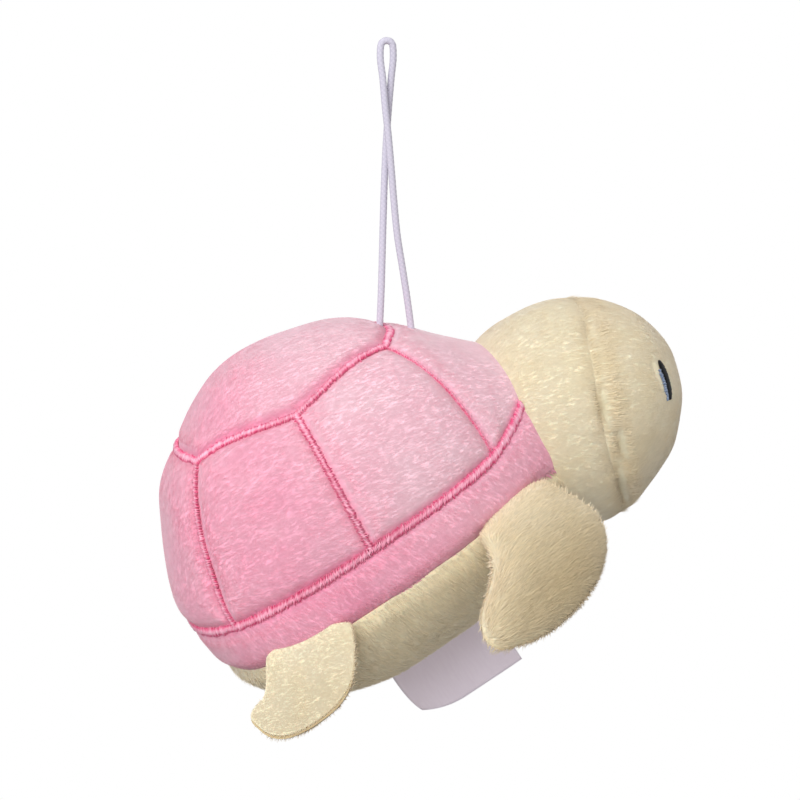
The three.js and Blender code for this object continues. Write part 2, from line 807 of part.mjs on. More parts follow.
// The care label: a blank ribbon sewn in along the middle of the belly.
const bellyBottom = widestLevel - bellyDrop;
const labelHinge = new THREE.Vector3(0, 0, bellyBottom);
const bodyAxis = new THREE.Vector3(1, 0, 0);

function careLabel() {
  const half = labelLength / 2;
  const shape = new THREE.Shape();
  shape.moveTo(-half, labelTuck);
  shape.lineTo(-half, -labelDrop + labelCorner);
  shape.quadraticCurveTo(-half + gap, -labelDrop, -half + labelCorner, -labelDrop);
  shape.lineTo(half, -labelDrop);
  shape.lineTo(half, labelTuck);
  shape.closePath();
  const sheet = new THREE.ExtrudeGeometry(shape, {
    depth: labelThickness,
    bevelEnabled: false,
    curveSegments: cornerSteps,
  });
  sheet.translate(0, 0, -labelThickness / 2);
  sheet.rotateX(quarterTurn);
  sheet.translate(0, 0, bellyBottom);
  return toSolid(sheet);
}

// The body and head.
const neckCut = aheadOfNeck(-gap / 2);
const block = bodyBlock(gap);
const carapace = toSolid(carapaceShell()).subtract(neckCut);
addPiece(body, 'carapace_cover', clearOf(carapace, cordHoles), pinkPlush);
addPiece(body, 'belly_cover', toSolid(bellyShell()).subtract(neckCut), creamPlush);
addPiece(
  body,
  'body_stuffing',
  toSolid(bodyFill(clothThickness + quiltDepth + fillGap)).subtract(neckCut).subtract(knotPocket()),
  fibreFill,
);
addPiece(body, 'face_cover', toSolid(faceShell()).subtract(block), creamPlush);
addPiece(body, 'head_back_cover', toSolid(napeShell()).subtract(block), creamPlush);
addPiece(
  body,
  'head_stuffing',
  toSolid(headBall(clothThickness + seamDepth + fillGap)).subtract(block),
  fibreFill,
);

// The stitching on the shell.
const headBlock = toSolid(headBall(-gap));
const rimRidge = toSolid(stitchRidge(ringPlaces(rimLevel), true));
addPiece(body, 'rim_embroidery', rimRidge.subtract(aheadOfNeck(-gap)).subtract(headBlock), pinkThread);
addPiece(body, 'scute_embroidery', scuteStitching(), pinkThread);

// The eyes.
const glintOffset = eyeWidth / 2 + gap + glintWidth / 2;
for (const [side, sign] of [['left', 1], ['right', -1]]) {
  addPiece(body, `eye_${side}`, facePad(sign, eyeWidth, eyeHeight, 0), blackThread);
  addPiece(body, `eye_glint_${side}`, facePad(sign, glintWidth, glintHeight, glintOffset), blueThread);
}

// The flippers: made on the right and mirrored to the left.
function addFlipper(name, turn, pieces) {
  const { root, along, matrix } = flipperFrame(turn);
  const blocks = sweptBody(root, along, -flipperLift, flipperPress);
  for (const [piece, solid, material] of pieces) {
    const placed = clearOf(toSolid(moved(toGeometry(solid), matrix)), blocks);
    addPiece(body, `${name}_right_${piece}`, placed, material);
    addPiece(body, `${name}_left_${piece}`, placed.mirror([0, 1, 0]), material);
  }
}

const frontCover = toSolid(lensCover(frontForm));
addFlipper('front_flipper', frontFlipperTurn, [
  ['top_cover', flipped(frontCover), creamPlush],
  ['under_cover', frontCover, creamPlush],
  ['stuffing', toSolid(lensFill(frontForm)), fibreFill],
]);
const rearLayer = toSolid(lensLayer(rearForm));
addFlipper('rear_flipper', rearFlipperTurn, [
  ['top_layer', flipped(rearLayer), creamPlush],
  ['under_layer', rearLayer, creamPlush],
]);

// The cord, its knot and the label.
addPiece(group, 'hanging_cord', hangingCord(), whiteElastic);
addPiece(body, 'cord_knot', cordKnot(), whiteElastic);
const labelBlocks = sweptBody(labelHinge, bodyAxis, -labelSwing, labelSwing);
addPiece(body, 'care_label', clearOf(careLabel(), labelBlocks), whiteRibbon);

export default group;
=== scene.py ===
import json
import math

import bmesh
import bpy
import numpy as np
from mathutils import Matrix, Vector
from mathutils.kdtree import KDTree
from mathutils.noise import noise


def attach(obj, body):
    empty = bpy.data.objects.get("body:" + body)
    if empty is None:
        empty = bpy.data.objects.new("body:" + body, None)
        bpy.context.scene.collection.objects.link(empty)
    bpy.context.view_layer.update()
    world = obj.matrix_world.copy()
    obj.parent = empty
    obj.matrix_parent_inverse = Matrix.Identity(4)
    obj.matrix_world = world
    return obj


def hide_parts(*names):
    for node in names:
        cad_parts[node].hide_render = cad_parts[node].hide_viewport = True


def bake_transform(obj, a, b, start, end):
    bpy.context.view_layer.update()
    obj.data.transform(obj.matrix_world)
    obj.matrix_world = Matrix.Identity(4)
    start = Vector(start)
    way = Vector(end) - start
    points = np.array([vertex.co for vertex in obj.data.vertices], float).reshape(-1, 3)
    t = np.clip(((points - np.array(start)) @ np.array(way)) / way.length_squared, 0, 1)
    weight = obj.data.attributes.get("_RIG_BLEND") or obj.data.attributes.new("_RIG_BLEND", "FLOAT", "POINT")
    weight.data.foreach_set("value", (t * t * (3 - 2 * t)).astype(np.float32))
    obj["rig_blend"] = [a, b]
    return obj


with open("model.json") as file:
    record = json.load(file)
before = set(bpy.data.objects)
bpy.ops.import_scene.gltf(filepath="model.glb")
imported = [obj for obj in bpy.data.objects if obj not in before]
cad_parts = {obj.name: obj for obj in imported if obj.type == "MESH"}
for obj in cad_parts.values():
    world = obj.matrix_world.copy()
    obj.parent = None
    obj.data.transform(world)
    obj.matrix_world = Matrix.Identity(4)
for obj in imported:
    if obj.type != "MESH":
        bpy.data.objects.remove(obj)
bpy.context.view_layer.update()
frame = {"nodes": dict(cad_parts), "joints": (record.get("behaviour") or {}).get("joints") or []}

# Sizes in millimetres. The body's own frame has its origin in the middle of the body, level with
# the rim line, with x to the nose along the body.
MILLIMETRE = 0.001
BODY_LENGTH = 89
BODY_WIDTH = 77
WIDEST_LEVEL = -6.4
DOME_RISE = 49.7
BELLY_DROP = 29.9
SEAM_LEVEL = -11.8
CLOTH = 0.8

HEAD_LENGTH = 59.2
HEAD_WIDTH = 52
HEAD_HEIGHT = 51.4
HEAD_AHEAD = 51.5
HEAD_BELOW = 8.8

NECK_AHEAD = 44
NECK_FLARE = 5
NECK_FLARE_REACH = 14
RIM_LIFT = 4

PILE_DEPTH = 0.5
HEAD_PILE_DEPTH = 0.2
QUILT_DEPTH = 2
QUILT_REACH = 2
SWELL_REACH = 6
GROOVE_SHARE = 0.6
NECK_HOLD_REACH = 6
SEAM_DEPTH = 1
SEAM_REACH = 1.8
FACE_SEAM_REACH = 1.3 * SEAM_REACH
GATHER_REACH = 6
REAR_SWELL = 2
REAR_SWELL_ABOVE = 3
REAR_SWELL_REACH = 9
TOP_SWELL = 1.8
TOP_SWELL_BEHIND = 5
TOP_SWELL_REACH = 11
CHIN_SWELL = 0.9
CHIN_SWELL_REACH = 9

SCUTE_CORNERS = [(26.2, 16.8), (0.1, 25.9), (-24.1, 15.8), (-24.1, -15.8), (0.1, -25.9), (26.2, -16.8)]
SCUTE_FRONT_BOW = 4.3
SCUTE_SIDE_BOW = 1.6
SCUTE_REAR_BOW = 2.4

STITCH_WIDTH = 1.7
RIM_STITCH_WIDTH = 1.25 * STITCH_WIDTH
THIN_STITCH_WIDTH = 0.7
THREAD_WIDTH = 0.26
THREAD_HEIGHT = 0.55
THREAD_STEP = 0.29
THREAD_SINK = 0.3
THIN_STITCH_SINK = 0.05

FRONT_SPAN = 43
FRONT_REACH = 24.6
FRONT_THICKNESS = 10.5
REAR_SPAN = 30
REAR_REACH = 14.5
REAR_THICKNESS = 3.4

EYE_HEIGHT = 9
EYE_WIDTH = 2.9
EYE_BOW = 0.25
EYE_SLANT_SHARE = 0.26
EYE_SHIFT = -0.8
EYE_DROP = 0.3
EYE_SINK = 0.2
EYE_HOLLOW = 0.3
EYE_THREAD_HEIGHT = 0.4
EYE_THREAD_STEP = 0.8 * THREAD_STEP
GLINT_HEIGHT = 7.2
GLINT_WIDTH = 1.1
GLINT_OFFSET = 1.55
GLINT_DROP = 0.8

CORD_DIAMETER = 1.6
LOOP_AHEAD = 7.9
LOOP_ABOVE = 105.7

LABEL_LENGTH = 27.3
LABEL_DROP = 15.7
LABEL_TUCK = 3
LABEL_THICKNESS = 0.25
LABEL_CURL = 3
LABEL_CURL_RISE = 13
LABEL_WAVE = 0.5

# Angles in degrees.
NOSE_UP = 32.7
NECK_LEAN = 6.8
HEAD_TILT = 3.4
FACE_DROOP = 20
FACE_SEAM_TURN = 72
FACE_SEAM_BOW = 9
FACE_TUCK = 1.2
NAPE_END = 138
EYE_OUT = 36.5
EYE_DOWN = 5
RIM_CORNERS = [48.1, 93.9, 140.2, 219.8, 266.1, 311.9]
FLIPPER_DROOP = 60
FLIPPER_PRESS = 10

# Powers of the rounded forms: 2 is an ellipse, and more is squarer.
PLAN_POWER = 2.6
DOME_POWER = 2.2
BELLY_POWER = 2.1
LENS_SPREAD = 2.4
LENS_CROWN = 0.6
EYE_POWER = 3.5

# The flippers' outlines, as shares of their span and reach.
FRONT_OUTLINE_SHARES = [
    (0.205, -0.06), (0.251, 0.134), (0.282, 0.338), (0.286, 0.5), (0.242, 0.687), (0.163, 0.817),
    (0.047, 0.923), (-0.116, 0.992), (-0.293, 1), (-0.467, 0.959), (-0.591, 0.878),
    (-0.679, 0.792), (-0.707, 0.679), (-0.67, 0.548), (-0.605, 0.443), (-0.481, 0.345),
    (-0.372, 0.235), (-0.302, 0.085), (-0.258, -0.06),
]
FRONT_MIDDLE_SHARE = (-0.158, 0.556)
REAR_OUTLINE_SHARES = [
    (0.317, -0.12), (0.307, 0.093), (0.27, 0.299), (0.21, 0.539), (0.13, 0.732), (0.004, 0.89),
    (-0.17, 0.98), (-0.356, 1), (-0.503, 0.946), (-0.603, 0.808), (-0.656, 0.622),
    (-0.68, 0.458), (-0.63, 0.36), (-0.53, 0.279), (-0.466, 0.1), (-0.42, -0.09), (-0.36, -0.28),
]
REAR_MIDDLE_SHARE = (-0.16, 0.44)

# The cord's route in the part's frame, in metres.
CORD_ROUTE = [
    (-0.0017, 0, -0.0653), (-0.00155, 0, -0.0615), (-0.00125, 0.0001, -0.055),
    (-0.001, 0.0003, -0.0475), (-0.00065, 0.0007, -0.038), (-0.0003, 0.001, -0.0296),
    (0.0001, 0.0011, -0.022), (0.0006, 0.001, -0.015), (0.0011, 0.0006, -0.0085),
    (0.0015, 0.00015, -0.0032), (0.0011, 0, -0.0005), (0, 0, 0), (-0.0011, 0, -0.0005),
    (-0.0015, -0.00015, -0.0032), (-0.001, -0.0006, -0.0085), (-0.0005, -0.001, -0.015),
    (0.0001, -0.0011, -0.0205), (0.0008, -0.001, -0.028), (0.0015, -0.0008, -0.036),
    (0.0023, -0.0005, -0.0434), (0.0035, -0.00025, -0.0506), (0.0046, -0.0001, -0.0575),
    (0.0054, 0, -0.0632), (0.0058, 0, -0.0668),
]


# Frames and paths.
LEAST_LENGTH = 1e-12
CURVE_STEPS = 24

body_matrix = Matrix.Translation(Vector((-LOOP_AHEAD, 0, -LOOP_ABOVE))) @ Matrix.Rotation(
    -math.radians(NOSE_UP), 4, "Y"
)
to_part = np.array(Matrix.Scale(MILLIMETRE, 4) @ body_matrix)


def in_part(points):
    """Points of the body's frame, in millimetres, as places in the part's frame, in metres."""
    return points @ to_part[:3, :3].T + to_part[:3, 3]


def unit(vectors):
    return vectors / np.maximum(np.linalg.norm(vectors, axis=-1, keepdims=True), LEAST_LENGTH)


def smooth_path(points, count, closed=False):
    """A centripetal curve through points, as count evenly spaced places."""
    points = np.array(points, float)
    if closed:
        rail = np.vstack([points[-1:], points, points[:2]])
    else:
        rail = np.vstack([2 * points[:1] - points[1:2], points, 2 * points[-1:] - points[-2:-1]])
    gaps = np.linalg.norm(np.diff(rail, axis=0), axis=1) ** 0.5
    fine = []
    shares = np.linspace(0, 1, CURVE_STEPS, endpoint=False)[:, None]
    for i in range(1, len(rail) - 2):
        p0, p1, p2, p3 = rail[i - 1:i + 3]
        d0, d1, d2 = gaps[i - 1:i + 2]
        start = ((p1 - p0) / d0 - (p2 - p0) / (d0 + d1) + (p2 - p1) / d1) * d1
        end = ((p2 - p1) / d1 - (p3 - p1) / (d1 + d2) + (p3 - p2) / d2) * d1
        cubic = 2 * p1 - 2 * p2 + start + end
        square = -3 * p1 + 3 * p2 - 2 * start - end
        fine.append(p1 + shares * (start + shares * (square + shares * cubic)))
    fine = np.vstack(fine + [rail[-2:-1]])
    along = np.r_[0, np.cumsum(np.linalg.norm(np.diff(fine, axis=0), axis=1))]
    wanted = np.linspace(0, along[-1], count, endpoint=not closed)
    return np.stack([np.interp(wanted, along, axis) for axis in fine.T], 1)


# The camera. Places in metres, angles in degrees.
CAMERA_AZIMUTH = -10
CAMERA_ELEVATION = 11
CAMERA_DISTANCE = 0.62
CAMERA_LENS = 122.76
VIEW_MIDDLE = Vector((-0.0072, 0, -0.1053))
VIEW_RIGHT = 0.01009
VIEW_UP = 0.02459


def aimed(name, data, place, target):
    """An object at a place that looks at a target."""
    looker = bpy.data.objects.new(name, data)
    bpy.context.scene.collection.objects.link(looker)
    looker.location = place
    looker.rotation_mode = "QUATERNION"
    looker.rotation_quaternion = (target - looker.location).to_track_quat("-Z", "Y")
    return looker


def add_camera():
    azimuth, elevation = math.radians(CAMERA_AZIMUTH), math.radians(CAMERA_ELEVATION)
    back = Vector((
        math.sin(azimuth) * math.cos(elevation),
        -math.cos(azimuth) * math.cos(elevation),
        math.sin(elevation),
    ))
    right = Vector((math.cos(azimuth), math.sin(azimuth), 0))
    up = back.cross(right)
    data = bpy.data.cameras.new("camera")
    data.lens = CAMERA_LENS
    target = VIEW_MIDDLE + right * VIEW_RIGHT + up * VIEW_UP
    bpy.context.scene.camera = aimed("camera", data, VIEW_MIDDLE + back * CAMERA_DISTANCE, target)


add_camera()


# Materials. Sizes in millimetres.
SHINE = 0.25
THREAD_SHINE = 0.5
SHEEN_ROUGHNESS = 0.5
PILE_ROUGHNESS = 0.9
PILE_SHEEN_TINT = (240, 232, 236)
SOFT_LIGHT_SHARE = 0.35
SOFT_LIGHT_COLOURS = (1, 0.6, 0.6)
SOFT_LIGHT_REACH = 1.5
BLOTCH_STRETCH = (1.8, 1, 1)
BLOTCH_FROM, BLOTCH_TO = 0.36, 0.7
STREAK_SIZE = 0.7
STREAK_STRETCH = (4, 1, 1)
STREAK_FROM, STREAK_TO = 0.3, 0.7
STREAK_DARKEST, STREAK_PALEST = 0.96, 1.03
TUFT_DARKEST, TUFT_PALEST = 0.9, 1.1
# Painted light: between these places along the body, in millimetres, the pile grows paler towards the nose,
# where its nap catches the light.
NOSE_LIGHT_START = -12
NOSE_LIGHT_END = 14
# The painted highlight on the middle of each stitch: how far it reaches and how strong it is.
CREST_REACH, CREST_SHARE = 0.1, 0.5
THREAD_UNEVEN = 0.38
THREAD_FIBRE = 0.15
THREAD_FIBRE_DEPTH = 0.05
FIBRE_CLUMP = 4
FIBRE_STRAND = 0.8
FIBRE_STRETCH = (1, 1, 4)
FIBRE_DEPTH = 0.3
WEAVE_SIZE = 0.5
WEAVE_STRETCH = (1, 1, 6)
RIBBON_LIGHT_SHARE = 0.55

# Colours as seen, from 0 to 255. A pile's root colour is a little deeper than its tip's, which is
# painted shade in the depth of the pile. PALE is for random paler patches and, on the pink, also
# painted light towards the nose. The deepest colour of each pile is painted shade, and on the shell
# also a few random darker tufts. Each thread's pair runs from painted shade at a stitch's ends to a
# painted highlight on its middle, and the elastic's darker colour is painted shade between its yarns.
PINK_ROOT = (245, 158, 183)
PINK_TIP = (247, 169, 191)
PINK_PALE = (247, 210, 218)
PINK_SHADE_AND_FLECK = (228, 100, 144)
CREAM_ROOT = (236, 219, 182)
CREAM_TIP = (241, 225, 191)
CREAM_PALE = (244, 233, 213)
CREAM_SHADE = (190, 168, 128)
PINK_THREAD = ((214, 68, 120), (255, 204, 222))
BLACK_THREAD = ((2, 2, 5), (20, 20, 28))
BLUE_THREAD = ((104, 120, 150), (176, 188, 210))
FIBRE_SHADE, FIBRE_WHITE = (226, 224, 220), (244, 243, 240)
ELASTIC_SHADE, ELASTIC_WHITE = (188, 184, 200), (205, 201, 215)
RIBBON_SHADE, RIBBON_WHITE = (242, 234, 242), (250, 244, 250)


def paint(red, green, blue):
    """A colour as seen, from 0 to 255, as Blender's linear one."""
    shares = [value / 255 for value in (red, green, blue)]
    return [s / 12.92 if s <= 0.04045 else ((s + 0.055) / 1.055) ** 2.4 for s in shares] + [1]


def add_node(tree, kind, inputs=(), **settings):
    """A node whose inputs are linked where they are given a socket, and set where a value."""
    node = tree.nodes.new(kind)
    for key, value in settings.items():
        setattr(node, key, value)
    for key, value in dict(inputs).items():
        if isinstance(value, bpy.types.NodeSocket):
            tree.links.new(value, node.inputs[key])
        else:
            node.inputs[key].default_value = value
    return node


class Finish:
    """A material, and short words for its nodes."""

    def __init__(self, name, roughness, sheen=0, sheen_tint=(255, 255, 255)):
        self.material = bpy.data.materials.new(name)
        self.material.use_nodes = True
        self.tree = self.material.node_tree
        self.shader = self.tree.nodes["Principled BSDF"]
        self.output = self.tree.nodes["Material Output"]
        self.shader.inputs["Roughness"].default_value = roughness
        self.shader.inputs["Sheen Weight"].default_value = sheen
        self.shader.inputs["Sheen Roughness"].default_value = SHEEN_ROUGHNESS
        self.shader.inputs["Sheen Tint"].default_value = paint(*sheen_tint)
        self.shader.inputs["Specular IOR Level"].default_value = SHINE

    def add(self, kind, inputs=(), **settings):
        return add_node(self.tree, kind, inputs, **settings)

    def mix(self, share, one, other, blend="MIX"):
        inputs = {0: share, 6: one, 7: other}
        return self.add("ShaderNodeMix", inputs, data_type="RGBA", blend_type=blend).outputs[2]

    def multiply(self, one, other):
        return self.add("ShaderNodeMath", {0: one, 1: other}, operation="MULTIPLY").outputs[0]

    def plus(self, one, other):
        return self.add("ShaderNodeMath", {0: one, 1: other}, operation="ADD").outputs[0]

    def attribute(self, name):
        return self.add("ShaderNodeAttribute", attribute_name=name).outputs["Fac"]

    def range(self, value, low, high, start=0, end=1):
        node = self.add("ShaderNodeMapRange", {0: value, 1: start, 2: end, 3: low, 4: high})
        return node.outputs[0]

    def grey(self, value):
        return self.add("ShaderNodeCombineColor", {0: value, 1: value, 2: value}).outputs[0]

    def place(self, stretch=(1, 1, 1)):
        """The place in the body's frame, so that x runs along the turtle."""
        place = self.add("ShaderNodeTexCoord").outputs["Object"]
        settings = {
            "Vector": place,
            "Location": tuple(to_part[:3, 3]),
            "Rotation": (0, -math.radians(NOSE_UP), 0),
            "Scale": stretch,
        }
        return self.add("ShaderNodeMapping", settings, vector_type="TEXTURE").outputs[0]

    def clouds(self, size, stretch=(1, 1, 1), detail=3):
        """Soft noise whose patches are about size millimetres across, or longer where stretched."""
        scale = 1 / (size * MILLIMETRE)
        return self.add(
            "ShaderNodeTexNoise",
            {"Vector": self.place(stretch), "Scale": scale, "Detail": detail},
        ).outputs["Fac"]

    def bump(self, height, distance, strength=1):
        node = self.add(
            "ShaderNodeBump",
            {"Height": height, "Distance": distance * MILLIMETRE, "Strength": strength},
        )
        self.tree.links.new(node.outputs[0], self.shader.inputs["Normal"])

    def wear(self, colour):
        self.tree.links.new(colour, self.shader.inputs["Base Color"])
        return self.material


def pile_cloth(name, root, tip, pale, deep, blotch, blotch_size, nose_light_share, sheen):
    """Pile cloth: deeper at the roots and paler at the tips, which is painted shade in the depth of
    the pile; paler towards the nose by a share, which is painted light where the nap catches it;
    and deeper where its deep value says, which is mostly painted shade.
    """
    finish = Finish(name, PILE_ROUGHNESS, sheen, PILE_SHEEN_TINT)
    finish.shader.inputs["Subsurface Weight"].default_value = SOFT_LIGHT_SHARE
    finish.shader.inputs["Subsurface Radius"].default_value = SOFT_LIGHT_COLOURS
    finish.shader.inputs["Subsurface Scale"].default_value = SOFT_LIGHT_REACH * MILLIMETRE
    # Painted shade: the roots are deeper than the tips.
    colour = finish.mix(finish.range(finish.attribute("pile"), 0, 1), paint(*root), paint(*tip))
    patches = finish.clouds(blotch_size, BLOTCH_STRETCH)
    patches = finish.range(patches, 0, blotch, BLOTCH_FROM, BLOTCH_TO)
    # Painted light towards the nose, added to the random paler patches; both pale the pile.
    ahead = finish.add("ShaderNodeSeparateXYZ", {0: finish.place()}).outputs["X"]
    nearer = finish.range(ahead, 0, nose_light_share, NOSE_LIGHT_START * MILLIMETRE, NOSE_LIGHT_END * MILLIMETRE)
    colour = finish.mix(finish.plus(patches, nearer), colour, paint(*pale))
    # Painted shade: the colour deepens by the deep value, which is painted shade in grooves, creases and on
    # faces turned from the light, and on the shell also a few random darker tufts.
    colour = finish.mix(finish.range(finish.attribute("deep"), 0, 1), colour, paint(*deep))
    streaks = finish.clouds(STREAK_SIZE, STREAK_STRETCH)
    streaks = finish.range(streaks, STREAK_DARKEST, STREAK_PALEST, STREAK_FROM, STREAK_TO)
    colour = finish.mix(1.0, colour, finish.grey(streaks), "MULTIPLY")
    uneven = finish.range(finish.attribute("tuft"), TUFT_DARKEST, TUFT_PALEST)
    colour = finish.mix(1.0, colour, finish.grey(uneven), "MULTIPLY")
    return finish.wear(colour)


def satin_thread(name, deep, bright, roughness):
    """Embroidery thread: a painted highlight, brightest in the middle of each stitch, painted shade at
    its ends where they dip into the pile, and some stitches brighter at random.
    """
    finish = Finish(name, roughness, sheen=0.1, sheen_tint=bright)
    finish.shader.inputs["Specular IOR Level"].default_value = THREAD_SHINE
    away = finish.attribute("pile")
    # Painted highlight on the middle of each stitch; its ends keep the deeper colour, painted shade.
    crest_highlight = finish.range(finish.multiply(away, away), CREST_SHARE, 0, 0, CREST_REACH)
    share = finish.range(finish.attribute("tuft"), 0, THREAD_UNEVEN)
    colour = finish.mix(finish.plus(crest_highlight, share), paint(*deep), paint(*bright))
    finish.bump(finish.clouds(THREAD_FIBRE, detail=2), THREAD_FIBRE_DEPTH, 0.5)
    return finish.wear(colour)


def fibre():
    """Loose white fibre, in soft clumps."""
    finish = Finish("loose fibre", roughness=1)
    clumps = finish.clouds(FIBRE_CLUMP)
    colour = finish.mix(clumps, paint(*FIBRE_SHADE), paint(*FIBRE_WHITE))
    finish.bump(finish.clouds(FIBRE_STRAND, FIBRE_STRETCH), FIBRE_DEPTH)
    return finish.wear(colour)


def braid():
    """Braided elastic, a little darker between its yarns, which is painted shade."""
    finish = Finish("braided elastic", roughness=0.7)
    # Painted shade between the yarns, where the braid's relief is low.
    share = finish.range(finish.attribute("pile"), 0, 1)
    colour = finish.mix(share, paint(*ELASTIC_SHADE), paint(*ELASTIC_WHITE))
    return finish.wear(colour)


def ribbon():
    """Thin satin ribbon that lets a little light through."""
    finish = Finish("satin ribbon", roughness=0.5, sheen=0.1)
    weave = finish.clouds(WEAVE_SIZE, WEAVE_STRETCH)
    colour = finish.mix(weave, paint(*RIBBON_SHADE), paint(*RIBBON_WHITE))
    finish.wear(colour)
    light = finish.add("ShaderNodeBsdfTranslucent", {"Color": colour})
    both = finish.add("ShaderNodeMixShader", {
        0: RIBBON_LIGHT_SHARE,
        1: finish.shader.outputs[0],
        2: light.outputs[0],
    })
    finish.tree.links.new(both.outputs[0], finish.output.inputs["Surface"])
    return finish.material


pink_pile = pile_cloth(
    "pink pile", PINK_ROOT, PINK_TIP, PINK_PALE, PINK_SHADE_AND_FLECK,
    blotch=0.2, blotch_size=9, nose_light_share=0.55, sheen=0.25,
)
cream_pile = pile_cloth(
    "cream pile", CREAM_ROOT, CREAM_TIP, CREAM_PALE, CREAM_SHADE,
    blotch=0.25, blotch_size=8, nose_light_share=0, sheen=0.35,
)
pink_thread = satin_thread("deep pink thread", *PINK_THREAD, roughness=0.35)
black_thread = satin_thread("black thread", *BLACK_THREAD, roughness=0.5)
blue_thread = satin_thread("grey blue thread", *BLUE_THREAD, roughness=0.6)
loose_fibre = fibre()
braided_elastic = braid()
satin_ribbon = ribbon()


# Meshes.
WELD = 1e-4


def gridded(columns, rows, form):
    """A grid bent into a form, which gives each place, its cover of pile and how deep its colour is,
    which is mostly painted shade.
    """
    mesh = bmesh.new()
    bmesh.ops.create_grid(mesh, x_segments=columns, y_segments=rows, size=0.5)
    shares = np.array([vertex.co[:2] for vertex in mesh.verts]) + 0.5
    points, cover, deep = form(shares[:, 0], shares[:, 1])
    cover_layer = mesh.verts.layers.float.new("cover")
    deep_layer = mesh.verts.layers.float.new("deep")
    for vertex, point, pile, colour in zip(mesh.verts, points, cover, deep):
        vertex.co = point
        vertex[cover_layer] = pile
        vertex[deep_layer] = colour
    bmesh.ops.remove_doubles(mesh, verts=mesh.verts, dist=WELD)
    return mesh


def face_out(mesh, centre):
    """Turns all faces over if most look towards the centre."""
    mesh.normal_update()
    looks = sum(face.normal.dot(face.calc_center_median() - centre) for face in mesh.faces)
    if looks < 0:
        bmesh.ops.reverse_faces(mesh, faces=mesh.faces)
    mesh.normal_update()


def thicken(mesh, depth):
    """Gives the cloth its back, so that it is a closed wall."""
    backs = {vertex: vertex.co - vertex.normal * depth for vertex in mesh.verts}
    made = bmesh.ops.extrude_face_region(mesh, geom=mesh.faces[:], use_keep_orig=True)["geom"]
    fronts = KDTree(len(backs))
    places = list(backs)
    for index, vertex in enumerate(places):
        fronts.insert(vertex.co, index)
    fronts.balance()
    for vertex in made:
        if isinstance(vertex, bmesh.types.BMVert):
            vertex.co = backs[places[fronts.find(vertex.co)[1]]]
    bmesh.ops.recalc_face_normals(mesh, faces=mesh.faces)


def surface_of(mesh):
    """The mesh's vertices as one array, of place, normal, cover and deep, and its triangles."""
    layers = [mesh.verts.layers.float[name] for name in ("cover", "deep")]
    vertices = np.array([
        [*vertex.co, *vertex.normal, *[vertex[layer] for layer in layers]] for vertex in mesh.verts
    ])
    mesh.verts.index_update()
    triangles = np.array([
        [loop.vert.index for loop in corner] for corner in mesh.calc_loop_triangles()
    ])
    return vertices, triangles


def scattered(surface, count, seed):
    """Random places on a surface, evenly by area, with their normals, cover and deep."""
    vertices, triangles = surface
    corners = vertices[triangles][..., :3]
    sides = corners[:, 1:] - corners[:, :1]
    areas = np.linalg.norm(np.cross(sides[:, 0], sides[:, 1]), axis=1)
    chance = np.random.default_rng(seed)
    chosen = np.searchsorted(np.cumsum(areas) / areas.sum(), chance.random(count))
    chosen = np.minimum(chosen, len(triangles) - 1)
    first, second = chance.random((2, count))
    over = first + second > 1
    first[over], second[over] = 1 - first[over], 1 - second[over]
    weights = np.stack([1 - first - second, first, second], 1)
    mixed = (vertices[triangles[chosen]] * weights[..., None]).sum(1)
    return mixed[:, :3], unit(mixed[:, 3:6]), mixed[:, 6], mixed[:, 7], chance


def template(shape):
    """A small closed shape as arrays of places and faces."""
    places = np.array([vertex.co for vertex in shape.verts])
    shape.verts.index_update()
    bmesh.ops.triangulate(shape, faces=shape.faces)
    faces = np.array([[vertex.index for vertex in face.verts] for face in shape.faces])
    shape.free()
    return places, faces


def tuft_shape():
    """One tuft of pile: a three-sided spike from 0 to 1 along z."""
    shape = bmesh.new()
    bmesh.ops.create_cone(shape, cap_ends=True, segments=3, radius1=0.5, radius2=0, depth=1)
    bmesh.ops.remove_doubles(shape, verts=shape.verts, dist=WELD)
    bmesh.ops.translate(shape, verts=shape.verts, vec=(0, 0, 0.5))
    return template(shape)


def stitch_shape():
    """One stitch of thread: a round-ended bead from -0.5 to 0.5 along z."""
    shape = bmesh.new()
    bmesh.ops.create_uvsphere(shape, u_segments=6, v_segments=6, radius=0.5)
    return template(shape)


def many(shape, origins, across, up, along):
    """Copies of a shape, each on its own three axes: places, faces and each place's tip share."""
    places, faces = shape
    spread = (
        origins[:, None]
        + places[None, :, :1] * across[:, None]
        + places[None, :, 1:2] * up[:, None]
        + places[None, :, 2:] * along[:, None]
    ).reshape(-1, 3)
    starts = len(places) * np.arange(len(origins))[:, None, None]
    tips = np.tile(places[:, 2], len(origins))
    return spread, (faces[None] + starts).reshape(-1, 3), tips


def data_of(name, mesh):
    """A bmesh as a mesh's data."""
    data = bpy.data.meshes.new(name)
    mesh.to_mesh(data)
    mesh.free()
    return data


def set_smooth(data, smooth):
    data.polygons.foreach_set("use_smooth", np.full(len(data.polygons), smooth))


def new_object(name, data, material):
    piece = bpy.data.objects.new(name, data)
    bpy.context.scene.collection.objects.link(piece)
    data.materials.append(material)
    return piece


def set_values(data, name, values):
    """A value for each vertex, which materials read by its name."""
    layer = data.attributes.new(name, "FLOAT", "POINT").data
    layer.foreach_set("value", np.broadcast_to(values, len(layer)).astype(np.float32))


def from_arrays(name, places, faces, material, smooth, values):
    data = bpy.data.meshes.new(name)
    data.from_pydata(in_part(places).tolist(), [], faces.tolist())
    for key, value in values.items():
        set_values(data, key, value)
    set_smooth(data, smooth)
    return new_object(name, data, material)


def from_bmesh(name, mesh, material):
    for vertex in mesh.verts:
        vertex.co = Vector(in_part(np.array(vertex.co)))
    data = data_of(name, mesh)
    set_values(data, "pile", BASE_PILE)
    set_values(data, "tuft", BASE_TUFT)
    set_smooth(data, smooth=True)
    return new_object(name, data, material)


